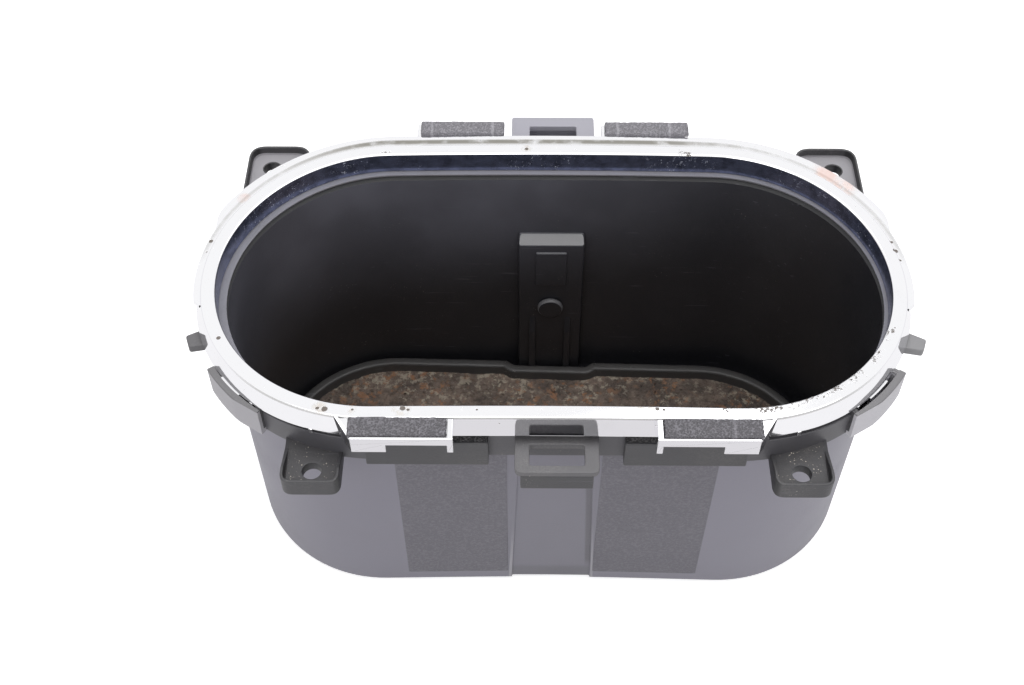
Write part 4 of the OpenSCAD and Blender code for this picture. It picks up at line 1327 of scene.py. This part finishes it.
@dataclass
class FloorMat:
    """Loose mat: raised edge with two notches, a worn floor of caked dirt, and loose crumbs."""

    half: float = 50.8
    radius: float = 38.0
    base: float = 2.55
    floor: float = 5.05
    top: float = 9.1
    edge: float = 3.2
    notch_half: float = 12.1
    notch_slope: float = 2.7
    notch_y: float = 36.1
    turn: float = -1.5
    # How far the mat has slid towards the back
    slid: float = 0.5

    def reach(self, x: Array) -> Array:
        """Half width of the mat at x: the slot's, drawn in to the notch near the middle."""
        past = np.maximum(np.abs(x) - self.half, 0)
        slot = np.sqrt(np.maximum(self.radius ** 2 - past ** 2, 0))
        along = (np.abs(x) - self.notch_half) / self.notch_slope
        notch = self.notch_y + (self.radius - self.notch_y) * along
        return np.minimum(slot, np.maximum(notch, self.notch_y))

    def turned(self, p: Array) -> Array:
        """Points turned about Z by the mat's own turn, and slid back."""
        a = math.radians(self.turn)
        turn = np.array([[math.cos(a), math.sin(a), 0], [-math.sin(a), math.cos(a), 0], [0, 0, 1]])
        return p @ turn + [0, self.slid, 0]

    def outline(self) -> Array:
        """Anticlockwise outline of the mat."""
        t = np.radians(np.linspace(-90, 90, 61))
        k = self.notch_half + self.notch_slope * np.array([0, 0.2, 0.8, 1.0, 1.2])
        x = np.unique(np.concatenate([np.linspace(-50, 50, 51), k, -k]))
        right = np.stack([self.half + self.radius * np.cos(t), self.radius * np.sin(t)], 1)
        back = np.stack([x[::-1], self.reach(x[::-1])], 1)
        return np.vstack([right, back, -right, -back])

    def rim(self, material: Material) -> None:
        """The raised edge: a rounded upright section carried round the outline.

        Args:
            material: Its finish.
        """
        loop = self.outline()
        normal = outward(loop)
        top, edge, floor = self.top, self.edge, self.floor
        rows = [(0.25, self.base), (0, self.base + 0.25), (0, top - 0.9), (0.25, top - 0.25), (0.9, top),
                (edge - 0.9, top), (edge - 0.25, top - 0.25), (edge, top - 0.9), (edge + 0.2, floor + 0.3),
                (edge + 0.8, floor - 0.4), (edge + 0.8, self.base)]
        inset, z = np.array(rows).T[:, :, None]
        flat = loop[None] - inset[..., None] * normal
        worn = 0.12 * bumps(flat[..., 0], flat[..., 1], z, 9, 21) * smooth((z - self.floor) / 2)
        p = np.concatenate([flat, (z + worn - 0.12 * smooth((z - self.floor) / 2))[..., None]], -1)
        shape = Shape()
        shape.grid(self.turned(p), wrap_rows=True)
        shape.build("mat_edge", [material], "floor_mat", "rubber_mat", 70)

    def heights(self, x: Array, y: Array) -> Array:
        """Height of the caked dirt over the mat's floor, thicker towards the edge."""
        return 0.28 + 0.22 * bumps(x, y, 0 * x, 14, 5, 4) + 0.16 * bumps(x, y, 0 * x, 2.2, 9, 3)

    def field(self, material: Material, cols: int = 420, rows: int = 190) -> None:
        """The mat's floor: lines across at each x, from one edge to the other, raised by the dirt.

        Args:
            material: Its finish.
            cols, rows: Steps along and across.
        """
        u = np.linspace(-1, 1, cols)
        length = self.half + self.radius - self.edge
        x = length * (1.5 * u - 0.5 * u ** 3)
        v = np.linspace(-1, 1, rows)[:, None]
        x, y = np.broadcast_arrays(x, v * np.maximum(self.reach(x * 1.0) - self.edge, 0.02))
        z = self.floor + np.maximum(self.heights(x, y), 0.02)
        shape = Shape()
        shape.grid(self.turned(np.stack([x, y, z], -1)), wrap_cols=False)
        shape.build("mat_floor", [material], "floor_mat", "rubber_mat", 80)

    def crumbs(self, material: Material, count: int = 900) -> None:
        """Loose crumbs of dirt: eight-sided lumps of random size, shape and turn on the floor.

        Each lump is a double cone of a random four-sided ring, two poles and a jitter.

        Args:
            material: Their finish.
            count: The most crumbs that are kept.
        """
        rng = np.random.default_rng(12)
        u = rng.uniform(-1, 1, (4 * count, 2))
        x, y = u[:, 0] * 82, u[:, 1] * 33
        keep = (np.abs(y) < self.reach(x) - self.edge - 1.2) & (np.abs(x) < 80)
        x, y = x[keep][:count], y[keep][:count]
        size = 0.16 + 0.42 * rng.random(len(x)) ** 3
        unit = np.array([[0, 0, -1], [1, 0, 0], [0, 1, 0], [-1, 0, 0], [0, -1, 0], [0, 0, 1]], float)
        lumps = (unit[None] + rng.normal(0, 0.28, (len(x), 6, 3))) * size[:, None, None]
        height = self.floor + np.maximum(self.heights(x, y), 0.02) + size * 0.4
        lumps += np.stack([x, y, height], 1)[:, None]
        sides = np.array([[0, 2, 1], [0, 3, 2], [0, 4, 3], [0, 1, 4],
                          [5, 1, 2], [5, 2, 3], [5, 3, 4], [5, 4, 1]])
        shape = Shape()
        shape.points = [self.turned(lumps.reshape(-1, 3))]
        shape.faces = (6 * np.arange(len(x))[:, None, None] + sides).reshape(-1, 3).tolist()
        shape.skins, shape.count = [np.zeros(len(shape.faces), int)], 6 * len(x)
        shape.build("mat_crumbs", [material], "floor_mat", "rubber_mat", 30)

    def build(self) -> None:
        """Makes every piece of the mat."""
        dirty = MatDirt("mat_dirt").make()
        self.rim(BlackPlastic("mat_rubber_edge", (0.062, 0.060, 0.060), (0.16, 0.13, 0.11), 0.3, 0.3,
                              rough=0.42).make())
        self.field(dirty)
        self.crumbs(dirty)


# Studio


@dataclass(frozen=True)
class Studio:
    """Pale floor, soft light and the camera."""

    lens: float = 49.22
    pitch: float = 50.82
    yaw: float = -0.68
    roll: float = -0.23
    shift_right: float = 11.43
    shift_up: float = 20.14
    distance: float = 388.49

    def camera(self) -> None:
        """Camera that looks down at the ring's centre from the front, turned by yaw, pitch and roll."""
        c, y, r = (math.radians(v) for v in (self.pitch, self.yaw, self.roll))
        ahead = Vector((math.sin(y) * math.cos(c), math.cos(y) * math.cos(c), -math.sin(c)))
        right = Vector((math.cos(y), -math.sin(y), 0))
        up = right.cross(ahead)
        right, up = right * math.cos(r) + up * math.sin(r), up * math.cos(r) - right * math.sin(r)
        place = -ahead * self.distance - right * self.shift_right - up * self.shift_up
        place = (place + Vector((0, 0, SLOT.top))) * MM
        data = bpy.data.cameras.new("camera")
        data.lens, data.sensor_width, data.sensor_fit = self.lens, 36.0, "HORIZONTAL"
        data.clip_start, data.clip_end = 0.01, 20.0
        camera = bpy.data.objects.new("camera", data)
        camera.matrix_world = Matrix.Translation(place) @ Matrix((right, up, -ahead)).transposed().to_4x4()
        bpy.context.scene.collection.objects.link(camera)
        bpy.context.scene.camera = camera

    def floor(self) -> None:
        """Plain white floor with the object's shadow; in reflections it turns greyer further away."""
        mesh = bpy.data.meshes.new("floor")
        mesh.from_pydata([(-4, -4, 0), (4, -4, 0), (4, 4, 0), (-4, 4, 0)], [], [(0, 1, 2, 3)])
        floor = bpy.data.objects.new("floor", mesh)
        bpy.context.scene.collection.objects.link(floor)
        n = Nodes("floor_white")
        n.wire(Base_Color=(0.80, 0.80, 0.81), Roughness=0.9, Specular_IOR_Level=0.1)
        path = n.add("LightPath")
        seen = n.times(path.outputs["Is Camera Ray"], 0.6)
        glow = n.add("Emission", {"Color": (1, 1, 1, 1), "Strength": seen})
        both = n.add("AddShader", {0: n.shader.outputs[0], 1: glow.outputs[0]})
        away = n.add("VectorMath", {0: n.place}, operation="LENGTH").outputs["Value"]
        tone = n.mix(n.ramp(away, 60, 135), (0.9, 0.9, 0.9), (0.77, 0.755, 0.775))
        tone = n.mix(n.ramp(n.math("ABSOLUTE", n.axis("X")), 62, 120), tone, (0.97, 0.965, 0.975))
        mirrored = n.add("Emission", {"Color": tone, "Strength": 1.0})
        shown = n.add("MixShader", {0: path.outputs["Is Glossy Ray"], 1: both.outputs[0],
                                              2: mirrored.outputs[0]})
        n.give(n.tree.nodes["Material Output"].inputs[0], shown.outputs[0])
        mesh.materials.append(n.material)

    def light(self) -> None:
        """A white surround, a large soft lamp overhead and a weaker one from the front."""
        world = bpy.data.worlds.new("surround")
        bpy.context.scene.world = world
        world.use_nodes = True
        n = Wiring(world.node_tree)
        path = n.add("LightPath")
        glossy = path.outputs["Is Glossy Ray"]
        seen = n.most(path.outputs["Is Camera Ray"], glossy)
        level = n.add("MapRange", {"Value": seen, "To Min": 0.62, "To Max": 1.0}).outputs["Result"]
        # In reflections the surround is white overhead and a little grey near the horizon
        up = n.add("SeparateXYZ", {0: n.add("TexCoord").outputs["Generated"]}).outputs["Z"]
        height = n.add("MapRange", {"Value": up, "From Max": 0.6}).outputs["Result"]
        low = n.add("Math", {0: glossy, 1: height}, operation="SUBTRACT", use_clamp=True).outputs[0]
        backdrop = n.tree.nodes["Background"]
        n.give(backdrop.inputs["Strength"], level)
        n.give(backdrop.inputs["Color"], n.mix(low, (1.0, 1.0, 1.0), (0.78, 0.77, 0.80)))
        lamps = (("overhead", (0.15, 0.1, 1.3), 1.2, 9.0), ("front", (-0.4, -1.1, 0.7), 0.9, 4.0))
        for name, place, size, watts in lamps:
            data = bpy.data.lights.new(name, "AREA")
            data.size, data.energy = size, watts
            lamp = bpy.data.objects.new(name, data)
            lamp.location = place
            lamp.rotation_euler = (-Vector(place)).to_track_quat("-Z", "Y").to_euler()
            bpy.context.scene.collection.objects.link(lamp)

    def build(self) -> None:
        """Sets the view transform and makes camera, floor and light."""
        bpy.context.scene.view_settings.view_transform = "Standard"
        self.camera()
        self.floor()
        self.light()


def main() -> None:
    """Builds the studio and every piece in order."""
    logging.basicConfig(level=logging.INFO, format="%(name)s: %(message)s")
    Studio().build()
    Bin().build()
    TrimRing().build()
    foam_strips()
    FloorMat().build()


if __name__ == "__main__":
    main()
